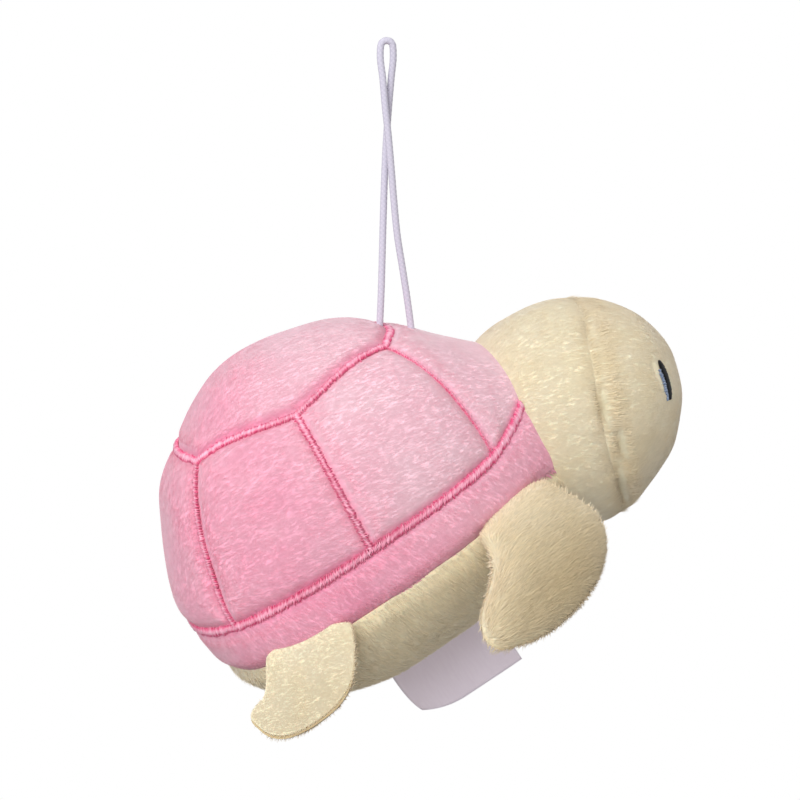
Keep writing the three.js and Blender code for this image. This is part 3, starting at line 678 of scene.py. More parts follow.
def joined(pieces):
    """One object from several: the first, which keeps its name."""
    for piece in bpy.context.selected_objects:
        piece.select_set(False)
    for piece in pieces:
        piece.select_set(True)
    bpy.context.view_layer.objects.active = pieces[0]
    bpy.ops.object.join()
    return pieces[0]


def mirrored(piece, name):
    """The same piece on the turtle's other side."""
    data = piece.data.copy()
    data.transform(Matrix.Scale(-1, 4, (0, 1, 0)))
    data.flip_normals()
    twin = bpy.data.objects.new(name, data)
    bpy.context.scene.collection.objects.link(twin)
    return twin


TUFT = tuft_shape()
STITCH = stitch_shape()
LEAST_COVER = 0.12
# The cloth between the tufts takes this share of the way from the roots' painted shade to the tips' colour.
BASE_PILE = 0.35
BASE_TUFT = 0.5
FLECK_SHARE = 0.12

# The least and the most that a tuft differs from the rest in rise, length and width.
TUFT_RISES = (0.6, 1.4)
TUFT_LENGTHS = (0.7, 1.25)
TUFT_WIDTHS = (0.7, 1.3)


def grown(
    surface, count, seed, nap, length, width, lift=1, spread=7, contrast=0.2, flatness=10, stand=0,
    fleck=0,
):
    """Tufts of pile over a surface. nap gives the way the pile lies and lift how far it stands up,
    stand how much more it does where it is long, and fleck how much deeper a few tufts are."""
    roots, normals, cover, deep, chance = scattered(surface, count, seed)
    kept = cover > LEAST_COVER
    roots, normals, cover, deep = roots[kept], normals[kept], cover[kept], deep[kept]
    total = len(roots)
    lie = nap(roots, normals)
    lie = unit(lie - (lie * normals).sum(1, keepdims=True) * normals)
    side = np.cross(normals, lie)
    swing = np.radians(spread) * chance.normal(size=(total, 1))
    lie, side = lie * np.cos(swing) + side * np.sin(swing), side * np.cos(swing) - lie * np.sin(swing)
    longer = np.clip(cover - 1, 0, None)[:, None]
    rise = np.radians((lift + stand * longer) * chance.uniform(*TUFT_RISES, (total, 1)))
    along = lie * np.cos(rise) + normals * np.sin(rise)
    up = normals * np.cos(rise) - lie * np.sin(rise)
    long = length * cover[:, None] * chance.uniform(*TUFT_LENGTHS, (total, 1))
    wide = width * chance.uniform(*TUFT_WIDTHS, (total, 1))
    roots = roots - normals * wide / flatness
    places, faces, tips = many(TUFT, roots, side * wide, up * wide / flatness, along * long)
    each = len(TUFT[0])
    tuft = BASE_TUFT + contrast * (chance.random(total) - 0.5)
    deep = deep + fleck * (chance.random(total) < FLECK_SHARE)
    values = {"pile": tips, "tuft": np.repeat(tuft, each), "deep": np.repeat(deep, each)}
    return places, faces, values


def plush(name, mesh, centre, material, pile):
    """A cover of pile cloth. pile is what grown needs after the surface."""
    face_out(mesh, Vector(centre))
    surface = surface_of(mesh)
    thicken(mesh, CLOTH)
    cloth = from_bmesh(name, mesh, material)
    places, faces, values = grown(surface, **pile)
    tufts = from_arrays(f"{name}_pile", places, faces, material, False, values)
    return joined([cloth, tufts])


def settle(piece, body, slot, *nodes):
    """Puts a piece on its body, in place of the nodes it stands for."""
    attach(piece, body)
    if nodes:
        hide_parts(*nodes)
    return piece


# The body's form, for arrays of turns and rises, in radians.
def body_form(turn, rise, inset):
    turn, rise, inset = np.broadcast_arrays(turn, rise, inset)
    power = np.where(rise > 0, DOME_POWER, BELLY_POWER)
    height = np.where(rise > 0, DOME_RISE, BELLY_DROP) - inset
    out = np.maximum(np.cos(rise), 0) ** (2 / power)
    across = np.abs(np.cos(turn)) ** PLAN_POWER + np.abs(np.sin(turn)) ** PLAN_POWER
    out = out * across ** (-1 / PLAN_POWER)
    return np.stack([
        (BODY_LENGTH / 2 - inset) * out * np.cos(turn),
        (BODY_WIDTH / 2 - inset) * out * np.sin(turn),
        WIDEST_LEVEL + height * np.sign(rise) * np.abs(np.sin(rise)) ** (2 / power),
    ], -1)


def rise_at_height(height):
    """The rise at which the body's form has this height."""
    up = np.asarray(height, float) - WIDEST_LEVEL
    above = np.arcsin(np.clip(up / DOME_RISE, 0, 1) ** (DOME_POWER / 2))
    below = -np.arcsin(np.clip(-up / BELLY_DROP, 0, 1) ** (BELLY_POWER / 2))
    return np.where(up > 0, above, below)


def dome_at(ahead, left):
    """The turn and rise of the dome's place below a point seen from above."""
    x, y = ahead / (BODY_LENGTH / 2), left / (BODY_WIDTH / 2)
    out = (np.abs(x) ** PLAN_POWER + np.abs(y) ** PLAN_POWER) ** (1 / PLAN_POWER)
    return np.arctan2(y, x), np.arccos(np.minimum(out ** (DOME_POWER / 2), 1))


head_centre = np.array([HEAD_AHEAD, 0, -HEAD_BELOW])
head_turn = np.array(Matrix.Rotation(-math.radians(HEAD_TILT), 3, "Y"))
head_half = np.array([HEAD_LENGTH, HEAD_WIDTH, HEAD_HEIGHT]) / 2


def on_head(directions, inset=0):
    """Where rays from the head's middle meet its cover."""
    directions = unit(directions)
    local = directions @ head_turn
    half = head_half - np.asarray(inset, float)[..., None]
    return head_centre + directions / np.linalg.norm(local / half, axis=-1, keepdims=True)


def outside_head(points):
    """How far points are outside the head. Inside, it is negative."""
    away = points - head_centre
    return np.linalg.norm(away, axis=-1) - np.linalg.norm(on_head(away) - head_centre, axis=-1)


def neck_share(turn, rise):
    """How near a place on the body is to the head, from 0 to 1."""
    away = np.maximum(outside_head(body_form(turn, rise, 0)), 0)
    return np.clip(1 - away / NECK_FLARE_REACH, 0, 1) ** 2


def necked_form(turn, rise, inset):
    """The body's form, flared at the neck."""
    points = body_form(turn, rise, inset)
    points[..., 0] += NECK_FLARE * neck_share(turn, rise)
    return points


# The quilting. A station goes round the scute's six sides, and a level from the top (0) to the
# scute's edge (1), the rim line (2), the seam (3) and the bottom of the belly (4).
SIDES = len(SCUTE_CORNERS)
FRONT_SIDE = SIDES - 1
REAR_SIDE = SIDES // 2 - 1
FRONT_SPOKES = (0, SIDES - 1)
RIM_LEVEL = 2
SEAM = 3
RING_POINTS = 1400
SPOKE_POINTS = 220
RIM_STEPS = 720
corner_points = np.array(SCUTE_CORNERS + SCUTE_CORNERS[:1])
corner_turns = np.radians(RIM_CORNERS + [RIM_CORNERS[0] + 360])


def rim_height(turn):
    """The rim line is level, but climbs a little where it meets the head."""
    return RIM_LIFT * neck_share(turn, rise_at_height(0))


def scute_edge(station):
    """The top scute's outline seen from above, its sides bowed."""
    side = np.floor(station).astype(int) % SIDES
    share = (station - np.floor(station))[:, None]
    points = corner_points[side] * (1 - share) + corner_points[side + 1] * share
    bow = 1 - (2 * share[:, 0] - 1) ** 2
    points[:, 0] += SCUTE_FRONT_BOW * bow * (side == FRONT_SIDE)
    points[:, 0] -= SCUTE_REAR_BOW * bow * (side == REAR_SIDE)
    flank = (side != FRONT_SIDE) & (side != REAR_SIDE)
    points[:, 1] += np.sign(points[:, 1]) * SCUTE_SIDE_BOW * bow * flank
    return points


def quilt_place(station, level):
    """The turn and rise of a place on the quilting."""
    side = np.floor(station).astype(int) % SIDES
    share = station - np.floor(station)
    turn = corner_turns[side] * (1 - share) + corner_turns[side + 1] * share
    edge = scute_edge(station)
    inner_turn, inner_rise = dome_at(*(edge * np.minimum(level, 1)[:, None]).T)
    swing = np.arctan2(np.sin(turn - inner_turn), np.cos(turn - inner_turn))
    down = np.clip(level - 1, 0, 1)
    turns = np.where(level <= 1, inner_turn, inner_turn + swing * down)
    rises = inner_rise + (rise_at_height(rim_height(turn)) - inner_rise) * down
    lower = np.clip(level - RIM_LEVEL, 0, 1)
    band = rise_at_height(rim_height(turn) * (1 - lower) + SEAM_LEVEL * lower)
    rises = np.where(level > RIM_LEVEL, band, rises)
    seam_rise = float(rise_at_height(SEAM_LEVEL))
    belly = seam_rise + (-math.pi / 2 - seam_rise) * (level - SEAM)
    return turns, np.where(level > SEAM, belly, rises)


def hollow(distance, reach):
    """Falls softly from 1, at no distance, to nothing."""
    return np.exp(-((distance / reach) ** 2))


# How the grid's rows are spread from the top of the dome to the seam, in millimetres.
ROW_REACHES = [0, 27, 73, 85]
ROW_LEVELS = [0, 1, RIM_LEVEL, SEAM]
RIM_REACH = ROW_REACHES[RIM_LEVEL]


def swell(turn, rise, level):
    """How far the stuffing pushes the cloth out: over the tail, and behind the top of the dome."""
    behind = np.clip(-np.cos(turn), 0, 1) ** 2
    reach = np.interp(level, ROW_LEVELS, ROW_REACHES)
    tail = REAR_SWELL * behind * hollow(reach - RIM_REACH + REAR_SWELL_ABOVE, REAR_SWELL_REACH)
    ahead = body_form(turn, rise, 0)[..., 0]
    top = TOP_SWELL * np.clip(1 - level ** 2, 0, 1)
    return tail + top * hollow(ahead + TOP_SWELL_BEHIND, TOP_SWELL_REACH)


def quilt_point(station, level, inset):
    """A place on the cloth, inset from where the stuffing pushes it."""
    station, level, inset = np.broadcast_arrays(station, level, np.asarray(inset, float))
    turn, rise = quilt_place(station, level)
    return necked_form(turn, rise, inset - swell(turn, rise, level))


def ring_line(level):
    """Places all the way round at one level."""
    return np.linspace(0, SIDES, RING_POINTS, endpoint=False), np.full(RING_POINTS, float(level))


def spoke_line(corner):
    """Places from a corner of the scute's edge out to the rim line."""
    return np.full(SPOKE_POINTS, float(corner)), np.linspace(1, RIM_LEVEL, SPOKE_POINTS)


rim_line = ring_line(RIM_LEVEL)
scute_line = ring_line(1)
spoke_lines = [spoke_line(corner) for corner in range(SIDES)]


def tree_of(points):
    tree = KDTree(len(points))
    for index, point in enumerate(points):
        tree.insert(point, index)
    tree.balance()
    return tree


quilt_lines = [rim_line, scute_line, *spoke_lines]
quilt_tree = tree_of(np.vstack([quilt_point(*line, 0) for line in quilt_lines]))


def distance_to(tree, points):
    """How far each point is from the nearest one in the tree."""
    return np.array([tree.find(point)[2] for point in points])


def lumps(points, size, seed=0):
    """Soft unevenness between about -1 and 1, with hills some size millimetres across."""
    return np.array([noise(Vector(point) / size + Vector((seed, seed, seed))) for point in points])


def quilt_hollow(distance):
    """How deep the stitched lines pull the cloth in: a narrow groove in a wide, soft hollow."""
    groove = GROOVE_SHARE * hollow(distance, QUILT_REACH)
    around = (1 - GROOVE_SHARE) * hollow(distance, SWELL_REACH)
    return (QUILT_DEPTH - PILE_DEPTH) * (groove + around)


def held_by_neck(turn, rise):
    """Falls from 1 to 0 at the neck, where the head's seam holds the cloth flat."""
    return np.clip(outside_head(body_form(turn, rise, 0)) / NECK_HOLD_REACH, 0, 1)


around_rim = np.linspace(0, SIDES, RIM_STEPS + 1)
rim_points = quilt_point(around_rim, RIM_LEVEL, 0)
rim_reach = np.r_[0, np.cumsum(np.linalg.norm(np.diff(rim_points, axis=0), axis=1))]


def station_at(share):
    """The station at a share of the way round the rim line."""
    return np.interp(share * rim_reach[-1], rim_reach, around_rim) % SIDES


def seam_hollow(distance):
    """How deep the belly's seam pulls the cloth in."""
    return SEAM_DEPTH * hollow(distance, SEAM_REACH)


# The puckers at the face's seam: degrees from the top of the head, millimetres ahead of the seam,
# depth in millimetres, and half the length in degrees.
PUCKERS = [(36, 0.2, 0.5, 9), (80, 0.4, 1.2, 11), (101, 3.2, 1.1, 9), (132, 0.8, 1.3, 16)]
PUCKER_REACH = 1.3

# How much of its depth the face's seam has on top and under the chin, and how much more beside.
SEAM_TOP_SHARE = 0.15
SEAM_FLANK_SHARE = 0.6


def puckers(around, ahead):
    """Short furrows near the seam, where the thread pulls tight. They mirror each other."""
    from_top = np.degrees(np.minimum(around, 2 * np.pi - around))
    return sum(
        depth * hollow(from_top - turn, half_length) * hollow(ahead - forward, PUCKER_REACH)
        for turn, forward, depth, half_length in PUCKERS
    )


def head_hollow(around, ahead):
    """The face's seam: a soft hollow that hardly shows on top or under the chin, and its puckers."""
    share = SEAM_TOP_SHARE + SEAM_FLANK_SHARE * np.abs(np.sin(around))
    return SEAM_DEPTH * hollow(ahead, FACE_SEAM_REACH) * share + puckers(around, ahead)


# Lumps in the stuffing, in millimetres.
SHELL_LUMP = 0.35
SHELL_LUMP_SIZE = 11
BELLY_LUMP = 0.5
BELLY_LUMP_SIZE = 12
BELLY_LUMP_SEED = 3
SEAM_SMOOTH_REACH = 4

# The pile starts this far from a stitched line and is at its full length this much farther on. At a
# seam it is longer by a share.
PILE_START = 0.35
PILE_GROWTH = 1.1
SHELL_SEAM_PILE = 0.5
SEAM_PILE_REACH = 1.5

# Painted shade: how much deeper the colour is on a stitched line and in its groove, in the shadow
# UNDER_LINE millimetres above the rim line and above the scute's edge, less of it as far below the
# rim line, and over the band below the rim line, which faces down. The band is at its deepest from
# its first quarter down, and deeper towards the nose.
LINE_SHADE = 0.5
LINE_SHADE_REACH = 1.4
UNDER_LINE_SHADE = 0.4
UNDER_LINE = 1.4
BELOW_RIM_SHARE = 0.5
BAND_START_SHARE = 0.25
BAND_PLACES = [-35, 0, 35]
BAND_SHADES = [0, 0.3, 0.34]
# Painted shade all over the belly, which faces down.
BELLY_SHADE = 0.3

# How far it is from the seam to the bottom of the belly.
BELLY_REACH = 42


def shell_form(across, down):
    station = station_at(across)
    reach = down * ROW_REACHES[-1]
    level = np.interp(reach, ROW_REACHES, ROW_LEVELS)
    plain = quilt_point(station, level, 0)
    line = distance_to(quilt_tree, plain)
    seam = (SEAM - level) * -SEAM_LEVEL
    relief = quilt_hollow(line) + seam_hollow(seam) - SHELL_LUMP * lumps(plain, SHELL_LUMP_SIZE)
    inset = PILE_DEPTH + held_by_neck(*quilt_place(station, level)) * relief
    cover = np.clip((line - PILE_START) / PILE_GROWTH, 0, 1)
    cover = cover * (1 + SHELL_SEAM_PILE * hollow(seam, SEAM_PILE_REACH))
    # Painted shade beside the lines: above the rim line and the scute's edge, and less below the rim line.
    above = [RIM_REACH - UNDER_LINE, ROW_REACHES[1] - UNDER_LINE]
    shade = sum(hollow(reach - place, UNDER_LINE / 2) for place in above)
    shade += BELOW_RIM_SHARE * hollow(reach - RIM_REACH - UNDER_LINE, UNDER_LINE / 2)
    # Painted shade over the band below the rim line, which faces down.
    band = np.clip((level - RIM_LEVEL) / BAND_START_SHARE, 0, 1)
    band = band * np.interp(plain[:, 0], BAND_PLACES, BAND_SHADES)
    deep = LINE_SHADE * hollow(line, LINE_SHADE_REACH) + UNDER_LINE_SHADE * shade + band
    return quilt_point(station, level, inset), cover, deep


def belly_form(across, down):
    station = station_at(across)
    level = SEAM + down
    plain = quilt_point(station, level, 0)
    seam = down * BELLY_REACH
    lump = BELLY_LUMP * lumps(plain, BELLY_LUMP_SIZE, BELLY_LUMP_SEED)
    inset = PILE_DEPTH + seam_hollow(seam) - lump * (1 - hollow(seam, SEAM_SMOOTH_REACH))
    # The belly's deep value is painted shade.
    return quilt_point(station, level, inset), np.ones(len(plain)), np.full(len(plain), BELLY_SHADE)


neck_lean = math.radians(NECK_LEAN)
neck_plane = Vector((math.cos(neck_lean), 0, -math.sin(neck_lean)))
neck_point = Vector((NECK_AHEAD, 0, 0))


def cut_at_neck(mesh):
    geometry = [*mesh.verts, *mesh.edges, *mesh.faces]
    bmesh.ops.bisect_plane(
        mesh, geom=geometry, dist=WELD, plane_co=neck_point, plane_no=neck_plane, clear_outer=True,
    )
    return mesh


# The ways in which the pile lies, and where it turns down at the rim line, in millimetres.
SHELL_NAP = np.array([1, 0, -0.17])
BAND_NAP = np.array([0.47, 0, -0.88])
BELLY_NAP = np.array([0.35, 0, -0.94])
NAP_TURN_LEVEL = 1.5
NAP_TURN_HEIGHT = 3


def shell_nap(points, normals):
    """Along the shell, and below the rim line turned down towards the seam."""
    down = np.clip((NAP_TURN_LEVEL - points[:, 2]) / NAP_TURN_HEIGHT, 0, 1)[:, None]
    return SHELL_NAP * (1 - down) + BAND_NAP * down


def belly_nap(points, normals):
    return BELLY_NAP + 0 * points


SHELL_GRID = (380, 122)
BELLY_GRID = (220, 40)
SHELL_PILE = dict(
    count=80000, seed=11, nap=shell_nap, length=1.5, width=0.28, stand=8, fleck=0.14,
)
BELLY_PILE = dict(
    count=26000, seed=12, nap=belly_nap, length=2, width=0.36, lift=12, contrast=0.9, flatness=4,
)

carapace = plush(
    "carapace_cloth", cut_at_neck(gridded(*SHELL_GRID, shell_form)), (0, 0, 0), pink_pile,
    SHELL_PILE,
)
settle(carapace, "root", "pink_plush", "carapace_cover")

belly = plush(
    "belly_cloth", cut_at_neck(gridded(*BELLY_GRID, belly_form)), (0, 0, 0), cream_pile,
    BELLY_PILE,
)
settle(belly, "root", "cream_plush", "belly_cover")


# The head. Lumps, folds and lengths of pile, in millimetres or as shares.
HEAD_LUMP = 0.3
HEAD_LUMP_SIZE = 9
FACE_LUMP_SEED = 5
NAPE_LUMP_SEED = 7
GATHER_COUNT = 7
GATHER_SEED = 0.5
FACE_GATHER = 0.6
NAPE_GATHER = 0.5
CHIN_SWELL_TURN = 0.7
# Painted shade along the face's seam and in its puckers.
SEAM_SHADE = 0.12
SEAM_SHADE_REACH = 1.6
PUCKER_SHADE = 0.4
EYE_HOLLOW_SHARE = 1.1
EYE_BARE_SHARE = 0.95
EYE_GROWTH_SHARE = 0.6
FAR_SHARE = 9
FACE_LONG_PILE = 0.35
FACE_LONG_PLACE = 3
FACE_LONG_REACH = 2.5
NAPE_SEAM_PILE = 0.8

face_axis = np.array([math.cos(math.radians(FACE_DROOP)), 0, -math.sin(math.radians(FACE_DROOP))])
face_up = np.array([math.sin(math.radians(FACE_DROOP)), 0, math.cos(math.radians(FACE_DROOP))])
face_left = np.array([0, 1, 0])


def head_direction(around, back):
    """Ways out of the head, turned round the face's axis and back."""
    around, back = around[:, None], back[:, None]
    return (
        face_axis * np.cos(back)
        + face_up * np.sin(back) * np.cos(around)
        + face_left * np.sin(back) * np.sin(around)
    )


def face_seam(around):
    """How far back the face's seam is turned. It bows at the sides."""
    return np.radians(FACE_SEAM_TURN + FACE_SEAM_BOW * np.sin(around) ** 2)


eye_out, eye_down = math.radians(EYE_OUT), math.radians(EYE_DOWN)


def eye_frame(sign):
    """The eye's middle, the way out from the nose and the way up."""
    ahead = np.array([
        math.cos(eye_out) * math.cos(eye_down),
        sign * math.sin(eye_out) * math.cos(eye_down),
        -math.sin(eye_down),
    ])
    upward = unit(np.array([0, 0, 1]) - ahead * ahead[2])
    sideways = np.cross(upward, ahead) * sign
    return on_head(ahead), sideways, upward


def eye_share(points):
    """How far from the nearer eye's middle, as a share of its half size."""
    shares = []
    for sign in (-1, 1):
        centre, sideways, upward = eye_frame(sign)
        away = points - centre
        across = (away @ sideways - GLINT_WIDTH / 2) / ((EYE_WIDTH + GLINT_WIDTH) / 2)
        along = away @ upward / (EYE_HEIGHT / 2)
        near = np.linalg.norm(away, axis=1) < EYE_HEIGHT
        shares.append(np.where(near, np.hypot(across, along), FAR_SHARE))
    return np.minimum(*shares)


def gathers(around, distance):
    """Small folds that run out from the seam where the cloth is gathered."""
    ring = GATHER_COUNT * np.stack([np.cos(around), np.sin(around)], 1)
    folds = np.array([noise(Vector((*place, GATHER_SEED))) for place in ring])
    return folds * hollow(distance, GATHER_REACH) * np.abs(np.sin(around))


def seam_shade(around, ahead):
    """Painted shade: how much deeper the colour is in the hollow along the face's seam and in its puckers.
    """
    line = SEAM_SHADE * hollow(ahead, SEAM_SHADE_REACH) * np.abs(np.sin(around))
    return line + PUCKER_SHADE * puckers(around, ahead)


def chin_swell(around, distance):
    """The stuffing sits low in the head and fills the chin."""
    return CHIN_SWELL * hollow(around - np.pi, CHIN_SWELL_TURN) * hollow(distance, CHIN_SWELL_REACH)


def face_form(across, down):
    around = 2 * np.pi * across
    back = (face_seam(around) + math.radians(FACE_TUCK)) * down
    plain = on_head(head_direction(around, back))
    seam = (face_seam(around) - back) * HEAD_LENGTH / 2
    eye = eye_share(plain)
    inset = HEAD_PILE_DEPTH - chin_swell(around, seam) + (
        np.clip(-seam, 0, 1)
        + head_hollow(around, seam)
        - FACE_GATHER * gathers(around, seam)
        - HEAD_LUMP * lumps(plain, HEAD_LUMP_SIZE, FACE_LUMP_SEED)
        + EYE_HOLLOW * hollow(eye, EYE_HOLLOW_SHARE)
    )
    cover = np.clip((eye - EYE_BARE_SHARE) / EYE_GROWTH_SHARE, 0, 1)
    cover = cover * (1 + FACE_LONG_PILE * hollow(seam - FACE_LONG_PLACE, FACE_LONG_REACH))
    return on_head(head_direction(around, back), inset), cover, seam_shade(around, seam)


def nape_form(across, down):
    around = 2 * np.pi * across
    back = face_seam(around) + (math.radians(NAPE_END) - face_seam(around)) * down
    plain = on_head(head_direction(around, back))
    seam = (back - face_seam(around)) * HEAD_LENGTH / 2
    inset = HEAD_PILE_DEPTH - chin_swell(around, seam) + (
        head_hollow(around, -seam)
        - NAPE_GATHER * gathers(around, seam)
        - HEAD_LUMP * lumps(plain, HEAD_LUMP_SIZE, NAPE_LUMP_SEED)
    )
    cover = 1 + NAPE_SEAM_PILE * hollow(seam, SEAM_PILE_REACH)
    return on_head(head_direction(around, back), inset), cover, seam_shade(around, -seam)


def face_nap(points, normals):
    return face_axis + 0 * points


FACE_GRID = (220, 56)
NAPE_GRID = (220, 46)
FACE_PILE = dict(
    count=28000, seed=21, nap=face_nap, length=1.8, width=0.28, lift=2, spread=8, contrast=0.25,
    stand=4,
)
NAPE_PILE = dict(
    count=34000, seed=22, nap=face_nap, length=1.5, width=0.3, lift=1.5, stand=16,
)

face = plush("face_cloth", gridded(*FACE_GRID, face_form), head_centre, cream_pile, FACE_PILE)
settle(face, "root", "cream_plush", "face_cover")
nape = plush("head_back_cloth", gridded(*NAPE_GRID, nape_form), head_centre, cream_pile, NAPE_PILE)
settle(nape, "root", "cream_plush", "head_back_cover")


# Satin stitching. Slants in degrees, clearances in millimetres, and the least and the most that a
# stitch differs from the rest in width and height.
STITCH_SPREAD = 7
RIM_SLANT = 22
SCUTE_SLANT = 16
THIN_SLANT = 20
NECK_CLEARANCE = 0.3
HEAD_CLEARANCE = 0.1
STITCH_WIDTHS = (0.85, 1.2)
STITCH_HEIGHTS = (0.85, 1.15)
LINE_RAGGED = 0.2
EYE_RAGGED = 0.1
GLINT_RAGGED = 0.4


def stitched(name, centres, across, up, lengths, material, seed, height, ragged):
    """Stitches side by side, each laid across the line through its centre. ragged is the share by
    which their lengths differ."""
    chance = np.random.default_rng(seed)
    total = len(centres)
    side = unit(np.cross(up, across))
    wide = THREAD_WIDTH * chance.uniform(*STITCH_WIDTHS, (total, 1))
    long = np.reshape(lengths, (-1, 1)) * chance.uniform(1 - ragged, 1 + ragged, (total, 1))
    high = 2 * height * chance.uniform(*STITCH_HEIGHTS, (total, 1))
    centres = centres + across * chance.normal(0, ragged / 2, (total, 1))
    places, faces, tips = many(STITCH, centres, side * wide, up * high, across * long)
    values = {"pile": tips, "tuft": np.repeat(chance.random(total), len(STITCH[0]))}
    return from_arrays(name, places, faces, material, True, values)


def along_line(line, sink, step):
    """Evenly spaced places on a quilted line's cloth, with the way along it and the way up."""
    loose = held_by_neck(*quilt_place(*line))
    inset = PILE_DEPTH + loose * (QUILT_DEPTH - PILE_DEPTH) - sink
    points = quilt_point(*line, inset)
    lower = quilt_point(*line, inset + 1)
    reach = np.r_[0, np.cumsum(np.linalg.norm(np.diff(points, axis=0), axis=1))]
    wanted = np.arange(0, reach[-1], step)
    columns = np.hstack([points, points - lower]).T
    even = np.stack([np.interp(wanted, reach, column) for column in columns], 1)
    places, ups = even[:, :3], unit(even[:, 3:])
    return places, unit(np.gradient(places, axis=0)), ups


def line_stitches(name, lines, slant, material, seed, width=STITCH_WIDTH, sink=THREAD_SINK):
    """Threads that cross each line, turned by about slant degrees from square."""
    chance = np.random.default_rng(seed)
    rows = [along_line(line, sink, THREAD_STEP) for line in lines]
    places, along, ups = (np.vstack(parts) for parts in zip(*rows))
    keep = ((places - np.array(neck_point)) @ np.array(neck_plane)) < -NECK_CLEARANCE
    keep &= outside_head(places) > HEAD_CLEARANCE
    places, along, ups = places[keep], along[keep], ups[keep]
    square = np.cross(ups, along)
    slants = np.radians(slant + STITCH_SPREAD * chance.normal(size=(len(places), 1)))
    across = unit(square * np.cos(slants) + along * np.sin(slants))
    lengths = np.full(len(places), width / math.cos(math.radians(slant)))
    return stitched(
        name, places, across, ups, lengths, material, seed, THREAD_HEIGHT, LINE_RAGGED,
    )


def closed_ring(ring):
    """A ring's line with its first place added again at its end."""
    stations, levels = ring
    return np.r_[stations, stations[:1] + SIDES], np.r_[levels, levels[:1]]


rim_thread = line_stitches(
    "rim_satin_stitch", [closed_ring(rim_line)], RIM_SLANT, pink_thread, seed=31,
    width=RIM_STITCH_WIDTH,
)
settle(rim_thread, "root", "pink_thread", "rim_embroidery")
wide_lines = [line for corner, line in enumerate(spoke_lines) if corner not in FRONT_SPOKES]
thin_lines = [spoke_lines[corner] for corner in FRONT_SPOKES]
scute_thread = joined([
    line_stitches(
        "scute_satin_stitch", [closed_ring(scute_line), *wide_lines], SCUTE_SLANT, pink_thread,
        seed=32,
    ),
    line_stitches(
        "scute_thin_stitch", thin_lines, THIN_SLANT, pink_thread, seed=33,
        width=THIN_STITCH_WIDTH, sink=THIN_STITCH_SINK,
    ),
])
settle(scute_thread, "root", "pink_thread", "scute_embroidery")


def eye_stitches(name, sign, offset, drop, width, height, material, seed, ragged):
    """Short threads laid across an oval that follows the head."""
    centre, sideways, upward = eye_frame(sign)
    rows = np.arange(-height / 2 + THREAD_STEP / 2, height / 2, EYE_THREAD_STEP)
    share = rows / (height / 2)
    lengths = width * np.sqrt(1 - np.abs(share) ** EYE_POWER)
    levels = rows - drop
    shift = EYE_SHIFT + offset + EYE_BOW * (levels / EYE_HEIGHT * 2) ** 2 - EYE_SLANT_SHARE * levels
    flat = centre + levels[:, None] * upward + shift[:, None] * sideways
    places = on_head(flat - head_centre, np.full(len(rows), EYE_SINK))
    ups = unit(places - head_centre)
    across = unit(sideways - (ups @ sideways)[:, None] * ups)
    return stitched(
        name, places, across, ups, lengths, material, seed, EYE_THREAD_HEIGHT, ragged,
    )


for side, sign in (("left", 1), ("right", -1)):
    eye = eye_stitches(
        f"eye_{side}_stitch", sign, 0, EYE_DROP, EYE_WIDTH, EYE_HEIGHT, black_thread,
        seed=41, ragged=EYE_RAGGED,
    )
    settle(eye, "root", "black_thread", f"eye_{side}")
    glint = eye_stitches(
        f"eye_glint_{side}_stitch", sign, GLINT_OFFSET, GLINT_DROP, GLINT_WIDTH, GLINT_HEIGHT,
        blue_thread, seed=42, ragged=GLINT_RAGGED,
    )
    settle(glint, "root", "blue_thread", f"eye_glint_{side}")


# The flippers, made on the right and mirrored to the left. Sizes in millimetres.
FLIPPER_PILE_DEPTH = 0.4
FLIPPER_LUMP = 0.35
FLIPPER_LUMP_SIZE = 7
FLIPPER_LUMP_SEED = 3
FLIPPER_PILE_SEED = 50
LEAST_HEIGHT = 0.12
BODY_CLEARANCE = 0.3
OUTLINE_POINTS = 400
BEHIND_SHARE = 4

# Cloth that is this far inside the seam isn't pushed out of the body. From there on it is, little by
# little, over the second length.
HELD_REACH = 0.5
FREED_REACH = 1.5

# The bend at the root starts this far inside the seam and ends this far out.
BEND_START = 1.5
BEND_END = 5

# Painted shade: how much deeper a flipper's colour is: most in the middle, less towards the edge,
# setting in from the root to half the reach and growing again beyond.
FLIPPER_SHADE = 0.55
DEEP_EDGE = 1.1
DEEP_ROOT_RISE = 2
DEEP_TIP_RISE = 2.2
DEEP_TIP_START = 0.5

# The share of its length that the pile has just inside the seam, how far out it has all of it, and
# the share that it loses at the edge.
ROOT_PILE_SHARE = 0.7
ROOT_PILE_START = 1
ROOT_PILE_REACH = 6
EDGE_PILE_LOSS = 0.15
EDGE_PILE_POWER = 6

# The share by which the lean over the edge reaches less far in where the edge is against the nap.
AGAINST_NAP = 0.85

joints = {joint["name"]: joint for joint in frame["joints"]}
from_part = np.linalg.inv(to_part)


def flipper_frame(joint_name):
    """The seam's middle, the way along it, the way out to the tip and the way out of the top."""
    joint = joints[joint_name]
    root = np.array(joint["pos_m"]) @ from_part[:3, :3].T + from_part[:3, 3]
    along = unit(-np.array(joint["axis"]) @ to_part[:3, :3])
    up = np.array([0, 0, 1.0])
    normal = unit(np.cross(along, up))
    droop = math.radians(FLIPPER_DROOP)
    out = normal * math.cos(droop) - up * math.sin(droop)
    return root, along, out, np.cross(out, along)


